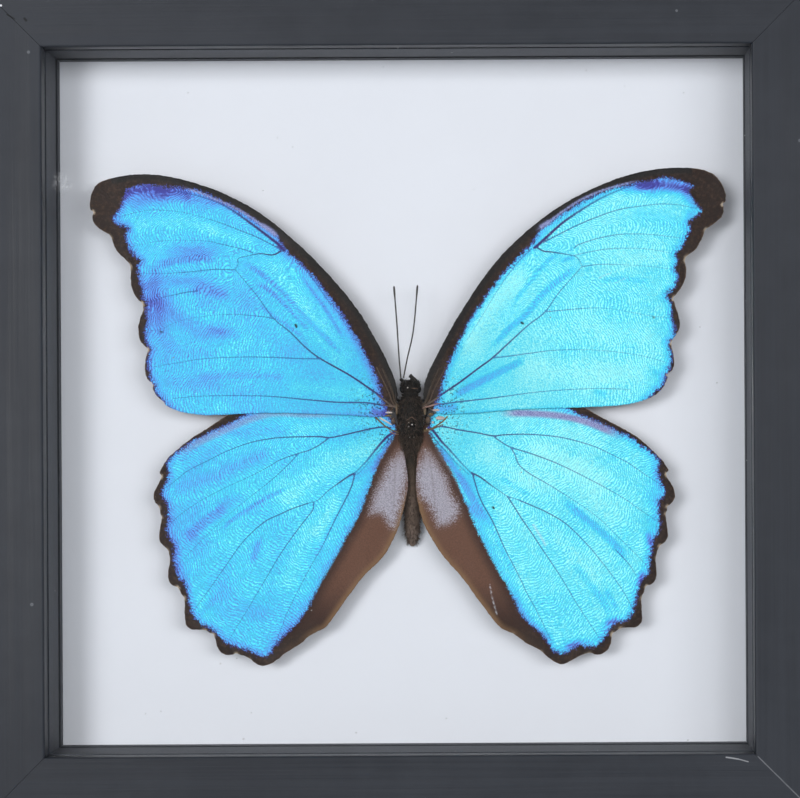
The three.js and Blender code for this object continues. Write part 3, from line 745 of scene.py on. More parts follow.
class Track:
    """A path with a search tree, for distances to it and places along it."""

    def __init__(self, points: list, closed: bool = False, step: float = 0.15) -> None:
        """Smooths the path and fills the tree."""
        self.path = smooth_path(points, step, closed)
        self.step = step
        self.closed = closed
        self.tree = KDTree(len(self.path))
        for i, (x, y) in enumerate(self.path):
            self.tree.insert((x, y, 0.0), i)
        self.tree.balance()

    def nearest(self, points: np.ndarray) -> tuple[np.ndarray, np.ndarray]:
        """Finds the distance to the path, and the number of the nearest sample, for each point."""
        found = [self.tree.find((x, y, 0.0)) for x, y in points]
        return np.array([f[2] for f in found]), np.array([f[1] for f in found])

    def share(self, index: np.ndarray) -> np.ndarray:
        """How far along the path a sample is, from 0 to 1."""
        return index / max(1, len(self.path) - 1)

    def reach(self, points: np.ndarray, index: np.ndarray, start: float) -> np.ndarray:
        """The distance along the path to each point, carried straight on past both of its ends."""
        run = start + index * self.step
        for at, near, sign in ((0, 1, -1.0), (len(self.path) - 1, -2, 1.0)):
            way = self.path[at] - self.path[near]
            way = way / (np.linalg.norm(way) or 1.0)
            past = np.maximum(0.0, (points - self.path[at]) @ way)
            run = run + sign * np.where(index == at, past, 0.0)
        return run

    def signed(self, points: np.ndarray) -> np.ndarray:
        """The distance to a closed path, above 0 inside it."""
        return self.nearest(points)[0] * np.where(inside(points, self.path), 1.0, -1.0)


def fade(value: np.ndarray, low: float, high: float) -> np.ndarray:
    """A smooth step from 0 at low to 1 at high, where low may be the larger."""
    t = np.clip((value - low) / (high - low), 0, 1)
    return t * t * (3 - 2 * t)


def new_mesh(name: str, points: np.ndarray, faces: list,
             tones: dict[str, np.ndarray] | None = None) -> bpy.types.Object:
    """Makes an object from points in metres.

    Args:
        name: The piece's name.
        points: The vertices.
        faces: The vertex numbers of each face.
        tones: Values for each vertex, by attribute name.

    Returns:
        The object, linked to the scene and selected alone.
    """
    mesh = bpy.data.meshes.new(name)
    mesh.from_pydata(np.asarray(points).tolist(), [], [list(map(int, f)) for f in faces])
    made = bpy.data.objects.new(name, mesh)
    paint(made, tones or {})
    bpy.context.scene.collection.objects.link(made)
    pick_only(made)
    return made


def round_outward(piece: bpy.types.Object) -> None:
    """Merges doubles and turns every face of a closed piece outward."""
    with edited(piece):
        bpy.ops.mesh.remove_doubles(threshold=1e-7)
        bpy.ops.mesh.normals_make_consistent(inside=False)


def finish_piece(piece: bpy.types.Object, node: str) -> None:
    """Rides a piece on the frame and the node it stands for, and reports it."""
    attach(piece, BODY)
    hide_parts(node)
    log.info("%s: %d vertices, stands for %s", piece.name, len(piece.data.vertices), node)


def lathe_tube(name: str, spine: np.ndarray, radii: np.ndarray, sides: int = 10, tone: float = 0.0,
               matt: float = 0.5) -> bpy.types.Object:
    """Makes a round tube along a spine from a bevelled curve, turned into a mesh.

    Args:
        name: The object's name.
        spine: Its centre line, in metres.
        radii: Its radius at each point, in metres.
        sides: The number of sides round it.
        tone: The value of its tone attribute.
        matt: The value of its matt attribute.

    Returns:
        The closed tube as a mesh object.
    """
    curve = bpy.data.curves.new(name, "CURVE")
    curve.dimensions = "3D"
    curve.bevel_depth = 1.0
    curve.bevel_resolution = max(0, sides // 4 - 1)
    curve.use_fill_caps = True
    line = curve.splines.new("POLY")
    line.points.add(len(spine) - 1)
    for point, place, radius in zip(line.points, spine, radii):
        point.co = (*place, 1.0)
        point.radius = radius
    made = bpy.data.objects.new(name, curve)
    bpy.context.scene.collection.objects.link(made)
    pick_only(made)
    bpy.ops.object.convert(target="MESH")
    made = bpy.context.view_layer.objects.active
    round_outward(made)
    bpy.ops.object.shade_smooth()
    paint(made, {"tone": tone, "matt": matt})
    return made


# ---- Wings --------------------------------------------------------------------------------------


def trace(text: str) -> Path:
    """Reads points or rows of numbers: commas inside each, spaces between them."""
    return tuple(tuple(map(float, point.split(","))) for point in text.split())


@dataclass(frozen=True)
class Stroke:
    """A drawn line: the width of a vein, the half width of a soft streak or a ridge, its strength and its path."""

    width: float
    strength: float
    path: Path


def strokes(text: str) -> tuple[Stroke, ...]:
    """Reads strokes with semicolons between them, each a width, a strength and the points of its path."""
    rows = [row.split(maxsplit=2) for row in text.split(";")]
    return tuple(Stroke(float(width), float(strength), trace(path)) for width, strength, path in rows)


@dataclass
class WingPlan:
    """One wing as drawn flat: its margin, its blue field, its veins, its folds, and its coloured patches with painted
    sheen.
    """

    name: str
    side: Side
    outline: Path
    blue: Path
    veins: tuple[Stroke, ...]
    folds: tuple[Stroke, ...]
    tints_and_sheen: tuple[Stroke, ...]
    lightness_and_sheen: float
    row_shading: float
    rows_from: Point
    layer: float = 0.0
    costa: tuple[int, int] = (0, 10)
    inner_from: int = 0
    panel: Path = ()
    creases: tuple[Path, ...] = ()
    strip: tuple[Stroke, ...] = ()
    marks: tuple[Stroke, ...] = ()


@dataclass
class Wing:
    """A wing membrane with raised veins, pleats between them, and painted attributes."""

    plan: WingPlan
    mesh_step: float = 0.33
    margin_step: float = 0.30
    thickness: float = 0.14
    vein_rise: float = 0.10
    pleat: float = 0.22
    fold_dip: float = 0.16
    fringe: float = 0.05
    vein_halo: float = 9.0
    ridge_spread: float = 0.3
    crease_spread: float = 0.17
    pleat_spread: float = 3.0

    def build(self, effects: Effects, underside: bpy.types.Material) -> bpy.types.Object:
        """Makes the wing, paints it, and puts it on the frame."""
        random = np.random.default_rng(SEED + len(self.plan.name) + int(self.plan.lightness_and_sheen * 100))
        margin = self._margin(random)
        self.margin = Track(self.plan.outline, closed=True)
        self.veins = [Track(v.path) for v in self.plan.veins]
        flat, faces = self._membrane(margin, random)
        tones, height = self._paint(flat)
        camber = CAMBER * np.sin(np.pi * np.clip(flat[:, 0] / HALF_SPAN, 0, 1))
        y = WING_PLANE + self.plan.layer - camber - height
        x = AXIS_X + self.plan.side.value * flat[:, 0]
        points = np.stack([x, y, AXIS_Z + flat[:, 1]], axis=1) * MM
        piece = new_mesh(f"morpho_{self.plan.name}", points, faces, tones)
        self._face_front(piece)
        piece.data.materials.append(WingScales(self.plan.name, self.plan.lightness_and_sheen, self.plan.row_shading).material(effects))
        piece.data.materials.append(underside)
        self._thicken(piece)
        finish_piece(piece, self.plan.name)
        return piece

    def _margin(self, random: np.random.Generator) -> np.ndarray:
        """The outline at even steps, with a slightly ragged fringe."""
        loop = smooth_path(self.plan.outline, self.margin_step, closed=True)
        way = np.roll(loop, -1, axis=0) - np.roll(loop, 1, axis=0)
        out = np.stack([way[:, 1], -way[:, 0]], axis=1) / np.linalg.norm(way, axis=1)[:, None]
        ragged = random.normal(0, 1, len(loop))
        ragged = (ragged + np.roll(ragged, 1)) / 2
        return loop + out * (ragged * self.fringe)[:, None]

    def _membrane(self, margin: np.ndarray, random: np.random.Generator) -> tuple[np.ndarray, list]:
        """Fills the margin with an even net of triangles whose edges follow the veins.

        Returns:
            The flat points, and the triangles between them.
        """
        low, high = margin.min(0), margin.max(0)
        step = self.mesh_step
        rows = np.arange(low[1], high[1], step * math.sqrt(3) / 2)
        net = np.array([(x, y) for i, y in enumerate(rows)
                        for x in np.arange(low[0] + (i % 2) * step / 2, high[0], step)])
        net = net + random.uniform(-0.1, 0.1, net.shape) * step
        lines = [smooth_path(v.path, self.margin_step) for v in self.plan.veins]
        lines = [line[inside(line, margin)] for line in lines]
        lines = [line for line in lines if len(line) > 2]
        fixed = KDTree(len(margin) + sum(map(len, lines)))
        for i, (x, y) in enumerate(np.vstack([margin, *lines])):
            fixed.insert((x, y, 0.0), i)
        fixed.balance()
        net = net[inside(net, margin)]
        net = net[[fixed.find((x, y, 0.0))[2] > step * 0.55 for x, y in net]]
        points = np.vstack([margin, *lines, net])
        edges, start = [], len(margin)
        for line in lines:
            edges += [(start + i, start + i + 1) for i in range(len(line) - 1)]
            start += len(line)
        ring = list(range(len(margin)))
        turning = np.sum(margin[:, 0] * np.roll(margin[:, 1], -1) - np.roll(margin[:, 0], -1) * margin[:, 1])
        if turning < 0:
            ring.reverse()
        found = delaunay_2d_cdt([Vector(p) for p in points], edges, [ring], 1, 1e-5, False)
        flat, faces = np.array([tuple(p) for p in found[0]]), np.array(found[2])
        return flat, faces[inside(flat[faces].mean(axis=1), margin)]

    def _paint(self, flat: np.ndarray) -> tuple[dict[str, np.ndarray], np.ndarray]:
        """Works out the attributes and the surface's rise at every point.

        Returns:
            The attributes by name, and the height of the surface toward the viewer, in millimetres.
        """
        plan = self.plan
        rim, near = self.margin.nearest(flat)
        corner = self.margin.nearest(np.array(plan.outline))[1]
        gap = np.full(len(flat), self.vein_halo)
        tone = np.zeros(len(flat))
        ridge = np.zeros(len(flat))
        closest = np.full(len(flat), np.inf)
        weight_sum = np.zeros(len(flat))
        reach = np.zeros(len(flat))
        for vein, track in zip(plan.veins, self.veins):
            away, index = track.nearest(flat)
            share = track.share(index)
            half = vein.width / 2 * (1.45 - 0.80 * share)
            here = away / half
            tone = np.where(here < gap, vein.strength * np.clip(1.2 - 0.7 * share, 0, 1), tone)
            gap = np.minimum(gap, here)
            ridge = np.maximum(ridge, vein.strength * np.exp(-(away / self.ridge_spread) ** 2))
            closest = np.minimum(closest, away)
            start = float(np.linalg.norm(track.path[0]))
            weight = 1 / (away + 0.3) ** 2
            reach += weight * track.reach(flat, index, start)
            weight_sum += weight
        reach = reach / weight_sum - 0.30 * np.minimum(closest, 4.0)
        folds = self._streaks(flat, plan.folds, taper=True)
        # crease: painted shade along the folds and the creases, on top of the dip the folds make in the surface.
        crease = folds
        for path in plan.creases:
            away, _ = Track(path).nearest(flat)
            crease = np.maximum(crease, 0.8 * np.exp(-(away / self.crease_spread) ** 2))
        edge = Track(plan.blue, closed=True).signed(flat)
        inner = np.zeros(len(flat))
        if plan.inner_from:
            inner = np.where(near >= corner[plan.inner_from], fade(flat[:, 1], -58.0, -28.0), 0.0)
        costa = ((near >= corner[plan.costa[0]]) & (near <= corner[plan.costa[1]])).astype(float)
        panel = Track(plan.panel, closed=True).signed(flat) if plan.panel else np.full(len(flat), -9.0)
        notch = self._notches()
        tones = {
            "edge": edge, "rim": rim, "vein_gap": np.minimum(gap, 3.0), "vein_tone": tone,
            "crease": np.clip(crease, 0, 1), "tint": self._streaks(flat, plan.tints_and_sheen), "reach": reach,
            "inner": inner, "costa": costa, "panel": panel,
            "ripple": 0.10 + 0.90 * fade(reach, *plan.rows_from), "base": fade(np.linalg.norm(flat, axis=1), 17.0, 6.0),
            "lilac": self._streaks(flat, plan.strip, taper=True), "mark": self._streaks(flat, plan.marks),
            "fringe": notch[near] * fade(rim, 0.45, 0.1),
        }
        rise = self.vein_rise * ridge - self.fold_dip * np.clip(folds, 0, 1)
        rise -= self.pleat * (1 - np.exp(-(closest / self.pleat_spread) ** 2)) * fade(rim, 0.0, 2.5)
        return tones, rise

    def _streaks(self, flat: np.ndarray, streaks: tuple[Stroke, ...], taper: bool = False) -> np.ndarray:
        """Adds up soft streaks at each point, fading toward their ends if taper is set."""
        total = np.zeros(len(flat))
        for streak in streaks:
            track = Track(streak.path, step=0.4)
            away, index = track.nearest(flat)
            mark = streak.strength * np.exp(-(away / (0.62 * streak.width)) ** (4 if taper else 2))
            if taper:
                share = track.share(index)
                mark = mark * fade(np.minimum(share, 1 - share), -0.04, 0.16)
            total = total + mark
        return total

    def _notches(self) -> np.ndarray:
        """How much the margin bends inward at each of its samples, from 0 to 1."""
        path, reach = self.margin.path, 6
        middle = (np.roll(path, reach, axis=0) + np.roll(path, -reach, axis=0)) / 2
        bend = np.linalg.norm(middle - path, axis=1)
        hollow = ~inside(middle, path)
        return np.where(hollow, np.clip((bend - 0.06) / 0.22, 0, 1), 0.0)

    @staticmethod
    def _face_front(piece: bpy.types.Object) -> None:
        """Turns the sheet's faces to the viewer, who looks along +Y."""
        if sum(p.normal.y * p.area for p in piece.data.polygons) > 0:
            with edited(piece):
                bpy.ops.mesh.flip_normals()
        bpy.ops.object.shade_smooth()

    def _thicken(self, piece: bpy.types.Object) -> None:
        """Gives the sheet its thickness, with the underside's finish behind."""
        pick_only(piece)
        wall = piece.modifiers.new("thickness", "SOLIDIFY")
        wall.thickness = self.thickness * MM
        wall.offset = -1.0
        wall.material_offset = 1
        wall.material_offset_rim = 0
        bpy.ops.object.modifier_apply(modifier=wall.name)


# ---- The wings as drawn, in millimetres outward from the body axis and upward from the wing base ----


# Each plan's lightness_and_sheen is painted sheen as well as its blue: the right wings are set paler than the left
# ones.
WINGS = (
    WingPlan(
        name="forewing_left", side=Side.LEFT, lightness_and_sheen=0.38, row_shading=0.34, rows_from=(22.0, 42.0),
        outline=trace("""
        3.1,2.3 3.4,6.4 6.2,13.1 12.2,23.3 19.8,32.3 27.3,39.6 34.8,45.3 43.9,49.9 53.8,52.8 61.5,53.4 67.2,52.5
        70,51.5 71.4,49.5 72,47 71.8,45.6 71.1,45 71.4,43.9 71.1,42.7 70,41.4 68.9,40.7 67.8,40 67.1,39.2 66.5,37.4
        65.6,35.9 64.2,34.5 62.8,32.8 62.8,30.4 62.6,28.1 61.9,26.3 61,25.1 60.2,24.5 60,23.7 60.1,22.6 60.8,20.7
        61.1,18.5 60.7,16.1 59.6,14.7 59,14.1 59.1,13.1 59.5,11.7 59.7,9.9 59.5,8.3 58.9,7.1 58.2,6.6 57.9,6 57.8,4.8
        56.9,3.4 55.7,2.4 54.3,1.1 50.4,-0.3 44.6,-0.8 31.1,-0.4 16,-0.9 8.1,-1.4 5.2,-0.9"""),
        blue=trace("""
        6.1,2.3 7,6.1 8.3,9.2 11,14.7 13.8,19.6 16.5,23.9 19.2,27.5 21.9,30.7 24.6,33.4 27.3,35.8 28.6,37.6 30,39.7
        32.7,41.7 35.4,43.6 38.1,45.2 40.8,46.7 43.5,48 46.2,49.3 48.9,50 51.6,50.4 54.3,50.5 57,50.9 59.7,51.1
        62,50.7 63.8,49.6 64.5,48 65.1,46.2 66.5,44.2 66.8,43.4 66.3,42.6 64.9,41.7 63.2,41.3 64,39.9 63.8,38.3
        62.9,36.5 61.8,34.7 60.6,33.9 61.3,32.9 61.2,31.6 60.8,29.3 60.4,27.5 60.2,25.7 59.1,24.5 59.4,23.4 59.5,22.1
        59.3,20.3 59.6,18.5 59.7,16.7 59.2,15.1 58.5,14 58.9,12.6 59.1,11.3 58.9,9.5 58.7,7.7 57.9,6.3 57.3,4.5
        56.4,3.2 55.5,2 54.3,0.7 52.8,-0.5 50.5,-1.8 31.1,-1.8 16,-2 4.3,-2.3 5.2,0"""),
        veins=strokes("""
        0.34 1 5.9,2.7 9.2,5 13.8,8.1 20.1,11.7 23.5,14.3 26.9,17.7 30.7,20.9 34,25.5 36.3,28.4 39.2,31.8; 0.52 1
        28.2,36.1 29.5,37.5 31.8,39.3 34,41 36.3,42.7 38.5,44.3 40.8,45.8 43.1,47 45.3,47.8 47.6,48.5 49.8,49
        52.5,49.6; 0.23 0.75 28.6,36.1 33.6,38.8 37.4,40.4 44,42.9 50.4,44.7 54.3,45.2 58.8,45.3 63.8,44.3 66.1,43.5;
        0.29 1 28.6,36.1 30.7,35.1 33.6,35.4 36.3,34.9 38.5,34.3 38.5,33.2 39.2,31.8; 0.2 0.65 35.2,35.6 37.4,36.4
        42.4,37.6 45.8,38.3 54.3,38.5 60.6,37.6 63.3,37; 0.2 0.7 39.2,31.8 44.2,31.9 50.4,31.3 55.5,31.1 60.4,31.1
        61.5,30.7; 0.23 0.7 47.6,27.1 50.3,26.8 53.2,26.2 55.5,25.7 57.3,24.9 59.2,24.5; 0.2 0.65 30.2,20.7 33.6,21.3
        40.4,21.8 46.9,21.3 52.1,20.3 56.1,18.5 59.5,18.3; 0.23 0.7 20.1,11.7 25,11.8 31.3,12.1 37.4,12.2 45.8,11.9
        52.1,11 57.7,10.1; 0.29 0.9 5.9,1.1 10,1.8 16,1.9 22.8,2.5 32.9,3.4 45.8,3.5 53.2,3; 0.29 0.6 24.6,33.4
        21.6,29.5 18.7,25.2 16.5,22.5 14.4,19.2 12.2,15.1"""),
        folds=strokes("""
        1 1 37.9,33.8 33.6,31.1 28.4,26.6 22.8,20.3 14.9,12.4; 0.9 1.1 34.5,29.1 30.7,26.4 26.1,21.9 22.1,17.4; 0.6
        0.8 34.5,24.3 29.5,20.7 23.9,16.5; 0.7 1 24.8,31.1 22.3,27.5 18.7,22.5 14.9,16.2; 1.6 0.9 57,32.9 52.1,34.2
        47.6,34.5 43.7,34.7; 1.4 0.5 55.5,35.8 49.8,36.3 44.9,36.3; 1.1 0.4 54.3,29.1 49.8,29.5 45.8,28.9; 2 0.4
        48.5,24.8 45.8,24.1 43.1,22.5"""),
        tints_and_sheen=strokes("""
        5 -0.75 16,11.7 21.6,19.8 26.1,25.9 30.7,31.6; 3.2 -0.5 25,5 18.3,4.5 11.5,4.1; 2.3 0.9 61.5,46.7 58.8,47.8
        55.5,48.2; 3.4 0.9 55.5,24.8 51.6,20.7 46.4,17.6 42.6,17.6; 2.5 0.7 45.3,28.4 42.6,26.6; 2.7 0.45 54.8,15.3
        49.8,13.5 45.3,13.1; 2.3 0.5 52.1,37 48.7,35.6 44.2,36.1; 2.7 -0.6 44.2,41 49.8,42.4 55.5,42.4 61.1,41.9; 2
        -0.6 36.3,38.3 39.7,39.2 44.2,40.1; 3.6 0.5 56.6,24.8 55.5,18 54.3,12.4; 3.2 0.55 58.8,28.6 53.2,29.1
        47.6,28.6; 2.7 0.5 54.3,6.8 49.8,6.1 44.2,5.9; 1.4 0.7 46.4,7.7 36.3,8.1 29.5,7.7; 1.4 1.8 8.1,-0.2 7,-0.6
        5.6,-0.8; 3.6 -0.3 31.8,15.8 38.5,14.7; 2.5 1.5 63.8,49.1 60,49.6 56.6,49.6 53.2,49.1 50.3,48.5; 1.6 0.8
        49.8,48 46.4,47.1 44.2,46.4; 2.7 0.9 57.3,31.1 57.7,27.1 57,22.5 56.6,18; 1.8 0.8 47.6,27.3 44.9,26.8
        41.9,26.4; 1.6 0.7 44.9,18.5 41.9,17.8 39,17.1; 3.2 0.35 36.3,24.8 33.6,18 27.3,13.5"""),
        strip=strokes("""
        0.36 1.2 50.7,50.3 48.7,49.7 46.4,48.9 44.2,47.9 41.9,47 39.7,46 37.4,44.7 35.2,43.3 33.4,42 31.3,40.7
        29.3,39; 0.9 0.8 33.6,42 31.8,41 29.8,39.4"""),
        marks=strokes("""
        0.4 1.2 25.7,19.4 25.5,18.9; 0.5 0.8 56.1,18 55.7,17.9"""),
    ),
    WingPlan(
        name="forewing_right", side=Side.RIGHT, lightness_and_sheen=1.12, row_shading=0.28, rows_from=(24.0, 46.0),
        outline=trace("""
        3.1,2.3 3.5,7.1 6.5,13.3 11,21.4 17.8,31.4 23.8,37.9 31.3,44 38.1,48.1 47.1,52 56.1,54 63.5,54.2 67.7,53.2
        69.9,51.3 71.1,48.7 71.2,47.3 71,46.6 70.4,46 70.7,45.3 70.4,43.6 69.5,42.5 67.9,41.3 66.6,40.4 66.1,39.2
        65.1,37.1 64,35.6 62.6,34.6 62,33.9 61.9,33 62.2,31.3 62,29.5 61.4,27.9 60.6,26.7 59.6,25.5 59.2,24.8
        59.4,24.1 59.8,22.8 60.4,21.2 60.7,19.4 60.6,18.2 60,17 59.2,15.8 58.7,15 58.8,13.9 59.1,12.5 59.4,10.6 59,8.9
        58.3,8.2 57.8,7.6 57.8,6.9 56.8,4.8 54.7,3 51.7,1.8 47,0.9 38.1,0.5 24.6,0.1 12.2,-0.8 5.9,-0.5"""),
        blue=trace("""
        6.1,2.3 7,5.9 8.1,9.5 9.7,13.1 11.5,16.7 13.5,20.3 15.8,23.9 18.3,27.5 21.2,31.1 23,33.1 24.8,34.9 26.8,36.7
        28.2,38.5 29.1,40.2 31.3,42 34.3,44 37.2,45.8 40.1,47.5 43.1,48.7 45.3,49.7 47.6,50.3 50,50.6 51.8,51.1
        53.7,51.3 55.7,51.7 57.7,52.1 60,51.7 62,51.1 63.8,50.3 62.9,49 64.1,47 65.7,44.6 64.9,43.6 62.9,42 63.3,40.5
        62.3,38.4 61.5,36.6 59.9,34.9 60.4,33.5 59.7,31.4 60.3,29.9 59.7,27.5 57.9,25.4 58.9,23.9 59.1,20.8 59.6,18
        59.3,16.2 58.2,15 58.6,13.5 58.8,11.7 58.7,9.9 57.7,8.1 57.3,6.3 56.4,5 55,3.8 53.4,2.3 51.6,0.7 47.1,-0.5
        38.1,-0.9 24.6,-1.1 11,-1.8 5.6,-1.8 5.2,0.5"""),
        veins=strokes("""
        0.34 1 6.5,3.2 11,6.2 15.6,9.6 18.5,11.7 23,15.8 26.8,19.2 30.4,22 33.6,26.4 38.7,32.1; 0.52 1 28.1,36.4
        30.2,38.2 31.8,39.7 34.7,42.2 38.1,44.5 41.5,46.6 44.2,48 47.6,49.4 50.9,50.5; 0.23 0.75 30.2,37.6 33.6,39.4
        38.1,41.6 42.6,43.4 47.1,44.9 51.6,45.6 56.1,46.1 60.6,45.9 65.1,45; 0.29 0.9 28.5,36.5 30.2,35.6 31.3,35.5
        34,35.1 37,34.5 38.1,33.6 38.8,32.1; 0.2 0.65 37,36.3 38.1,37.1 42.6,38.5 47.1,39.3 51.6,39.4 56.1,39.1
        61.8,38.3; 0.2 0.65 38.8,32.1 42.6,32.6 47.6,32.5 53.9,32.1 60.2,31.3; 0.18 0.5 36.3,34.5 40.4,35.4 44.9,36.1
        50.5,36.2 55,35.8 59.7,34.8; 0.2 0.65 30.4,22 37.4,22.6 42.6,22.8 48.2,22.1 53.9,21 58.8,20.5; 0.23 0.7
        18.5,11.7 22.3,12.1 26.8,12.7 33.6,13.4 42.6,13.3 51.6,12.1 57.3,10.6; 0.29 0.85 4.7,1.1 11,1.9 18.5,2.7
        29.8,4.1 41,4.7 49.4,4.5; 0.29 0.5 27.3,36.1 24.1,32.9 20.1,27.5 16.5,21.6 12.8,15.8"""),
        folds=strokes("""
        1.1 1.25 37.6,32 34.7,30 29.8,25.9 26.1,21.4 22.3,18.3 18.5,14.2; 1.2 1.3 9.2,2.9 14.9,5.9 20.7,8.8 26.1,11.5;
        0.9 0.7 33.6,35.6 30.2,32.5 26.4,28 22.8,23.4; 0.9 0.55 42.6,28.9 48.2,29.3 53.9,28.6; 0.8 0.8
        34,33.4 37,34.3"""),
        tints_and_sheen=strokes("""
        4.1 -0.7 13.3,15.8 17.8,22.5 23.4,29.3; 5.4 -0.6 28,8.6 37,8.3 49.4,7.7; 3.2 -0.4 49.4,33.4 55,34.3; 4.5 -0.3
        33.6,18 42.6,18 51.6,16.2; 2.3 0.25 51.6,44 57.3,42.8 61.8,41; 2.5 1.5 53.4,50.5 56.1,50.5 59.3,50 62,49.6; 2
        0.8 48.9,49.4 52.8,49.6 55,49.1; 1.6 0.8 62.4,47.3 63.8,46 62.9,44.2; 1.4 0.6 55,8.6 57,7 57.9,5; 1.1 0.7
        41.7,4.1 43.5,3.6; 3.2 0.3 11.5,5.9 15.6,8.6 20.1,11.3; 1.6 1.7 6.8,0.2 8.1,0.5 9.7,0.7; 1.6 1.6 51.6,50
        55,50.3 58.8,50 62.4,49.4; 2.3 0.2 56.1,31.6 57.3,28.2"""),
        strip=strokes("""
        0.36 1.2 28.6,40.4 30.2,41.5 31.8,42.6 34.7,44.7 38.1,46.9 41.5,48.5 44.9,49.7 48.2,50.6 51.6,51.4; 0.9 0.8
        29.1,40.8 30.4,41.6 31.8,42.4"""),
        marks=strokes("""
        0.4 1.2 25.1,19.6 25.4,19.4; 0.5 0.8 54.7,20.7 54.9,20.6; 0.4 -0.6 42.6,29.5 44,30.2 45.3,30.7; 0.4 -0.5
        46.2,28.4 47.6,29.1 48.9,29.5"""),
    ),
    WingPlan(
        name="hindwing_left", side=Side.LEFT, lightness_and_sheen=0.55, row_shading=0.3, rows_from=(10.0, 30.0), layer=1.0,
        costa=(0, 0), inner_from=49,
        outline=trace("""
        3,-3.2 5.9,-0.6 11.5,1.4 20.5,2.2 29.5,2.4 36.3,1.4 40.7,-0.5 45.3,-3.5 49.8,-6.3 54.3,-10.1 56.2,-12.7
        56.6,-13.7 56.2,-14.5 56.6,-15.6 57.8,-18 58,-19.4 57.6,-20.5 56.7,-21.5 56.5,-22.8 56.2,-23.9 56.6,-26.5
        56.8,-28.1 56.5,-29.4 55.4,-30.5 54.7,-31.5 54.4,-33.5 54.8,-36.2 54.6,-38.2 53.8,-39.1 52.6,-39.6 51.7,-41.2
        51.1,-42.2 51.1,-45.4 50.9,-47.6 50.3,-48.6 49.2,-49.1 46.8,-49.1 45.7,-49.7 44.7,-50.2 44.1,-51.8 43.8,-53
        43.1,-54.1 41.8,-54.8 40.4,-54.8 39.6,-54.5 37.9,-55 36.4,-55.7 35.1,-56.8 33.6,-57.3 31.7,-56.8 30.1,-55.8
        28.8,-54.7 26.7,-53.4 24.9,-52.3 23,-50.6 20.9,-49.5 19,-48.3 15.1,-42.9 10.8,-37.3 7.1,-33.7 5,-30.8
        2.6,-25.4 1,-18.9 0.7,-15.6 1.3,-10.9 1.9,-8.2 2,-5.9"""),
        blue=trace("""
        6.5,1.1 16,1.8 25,1.8 32.2,1.4 36.3,-0.2 40.1,-2.3 42.6,-3.4 45.1,-4.5 46.9,-5.4 48.7,-6.3 51.4,-8.1 53.7,-9.9
        55,-11.7 54.7,-13.5 55,-15.3 55.9,-17.1 56.1,-18.9 55,-20.7 55,-22.5 54.8,-24.3 55.2,-26.1 54.8,-28 53.7,-29.8
        53.5,-31.6 53.7,-33.4 53.2,-35.2 52.8,-37 51.2,-38.8 50.7,-40.6 50.3,-42.4 49.8,-44.2 49.4,-46 47.6,-47.8
        45.5,-48.8 44.2,-49.8 42.8,-51.4 41.3,-52.5 39.4,-53.1 37.2,-53.8 35.4,-54.6 33.6,-55.3 32.2,-54.8 30.9,-53.2
        29.3,-51.4 27.5,-49.6 25.7,-47.8 24.3,-46 23.2,-44.2 22.3,-42.4 21.4,-40.6 20.5,-38.8 19.4,-37 18.3,-35.2
        17.4,-33.4 16.7,-32.5 15.8,-30.7 14.9,-28.9 13.8,-27.1 12.8,-25.5 11.9,-23.7 11,-21.6 10.4,-19.8 9.5,-17.6
        8.8,-15.6 7.9,-13.3 7,-11.3 5.9,-9.5 5,-7.9 4.1,-6.3 3.4,-4.5 4.7,-1.4"""),
        panel=trace("""
        2.5,-8.6 3.4,-9.5 5.2,-11.7 6.5,-14.7 7.7,-17.1 8.6,-19.2 9.2,-21.4 9.2,-23.4 7,-23.4 5.6,-25.2 4.1,-26.6
        3.2,-25 2.5,-22.5 1.8,-20.3 1.4,-18 0.7,-15.3 0.5,-13.5 0.7,-10.8 1.6,-9"""),
        creases=(trace("3.2,-10.1 3.6,-13.5 3.8,-18 4.1,-23"),),
        veins=strokes("""
        0.27 0.95 4.5,-3.9 6.4,-3.7 9.2,-4.1 11.5,-4.6 15.8,-5.6 18.3,-6 20.5,-5.8 25,-5.8 28.4,-5.9 31.8,-6.2
        36.3,-7.1 41.3,-8.9 46,-11.2 50.5,-13.5 53.9,-16.2 56.6,-17.8; 0.23 0.8 18.3,-6 20.5,-7.6 22.8,-8.8 25.2,-9.5
        29.5,-11 31.7,-12.3 36.3,-14.7 41.9,-17.2 46.9,-19.8 51.8,-23 54.3,-25.4; 0.2 0.65 25.2,-9.5 27.3,-11.7
        30.7,-14.9 35.2,-18.5 39.7,-22.1 45.3,-27.1 50.1,-31.9 52.8,-34.7; 0.5 1 3.4,-4.6 4.5,-5.3 5.7,-6.2 7.9,-8.7
        10,-11.3 12.6,-14; 0.18 0.7 3.6,-5.5 5.1,-6.8 7.2,-9.1 9.4,-11.6 12,-14.3; 0.32 0.95 12.6,-14 14,-14.7
        16.2,-16.2 18.7,-18 20.9,-20 23,-20.7; 0.23 0.8 23,-20.7 26.6,-21.9 29.5,-23.2 32.7,-24.7 36.2,-27.6
        38.8,-30.5 41.9,-34.9 45.8,-40.4 49,-44.7 49.8,-46.2; 0.21 0.75 21.9,-20.7 22.3,-22.5 24.8,-25.7 28.9,-31.3
        32.9,-37.9 36.7,-44.2 40.1,-49.7 41.3,-51.6; 0.25 0.85 12.6,-14 13.3,-16.7 14.4,-19.2 17.2,-24.6 19.8,-30
        22.5,-34.7 24.8,-39 28,-45.3 29.5,-49.3 30.9,-52.5"""),
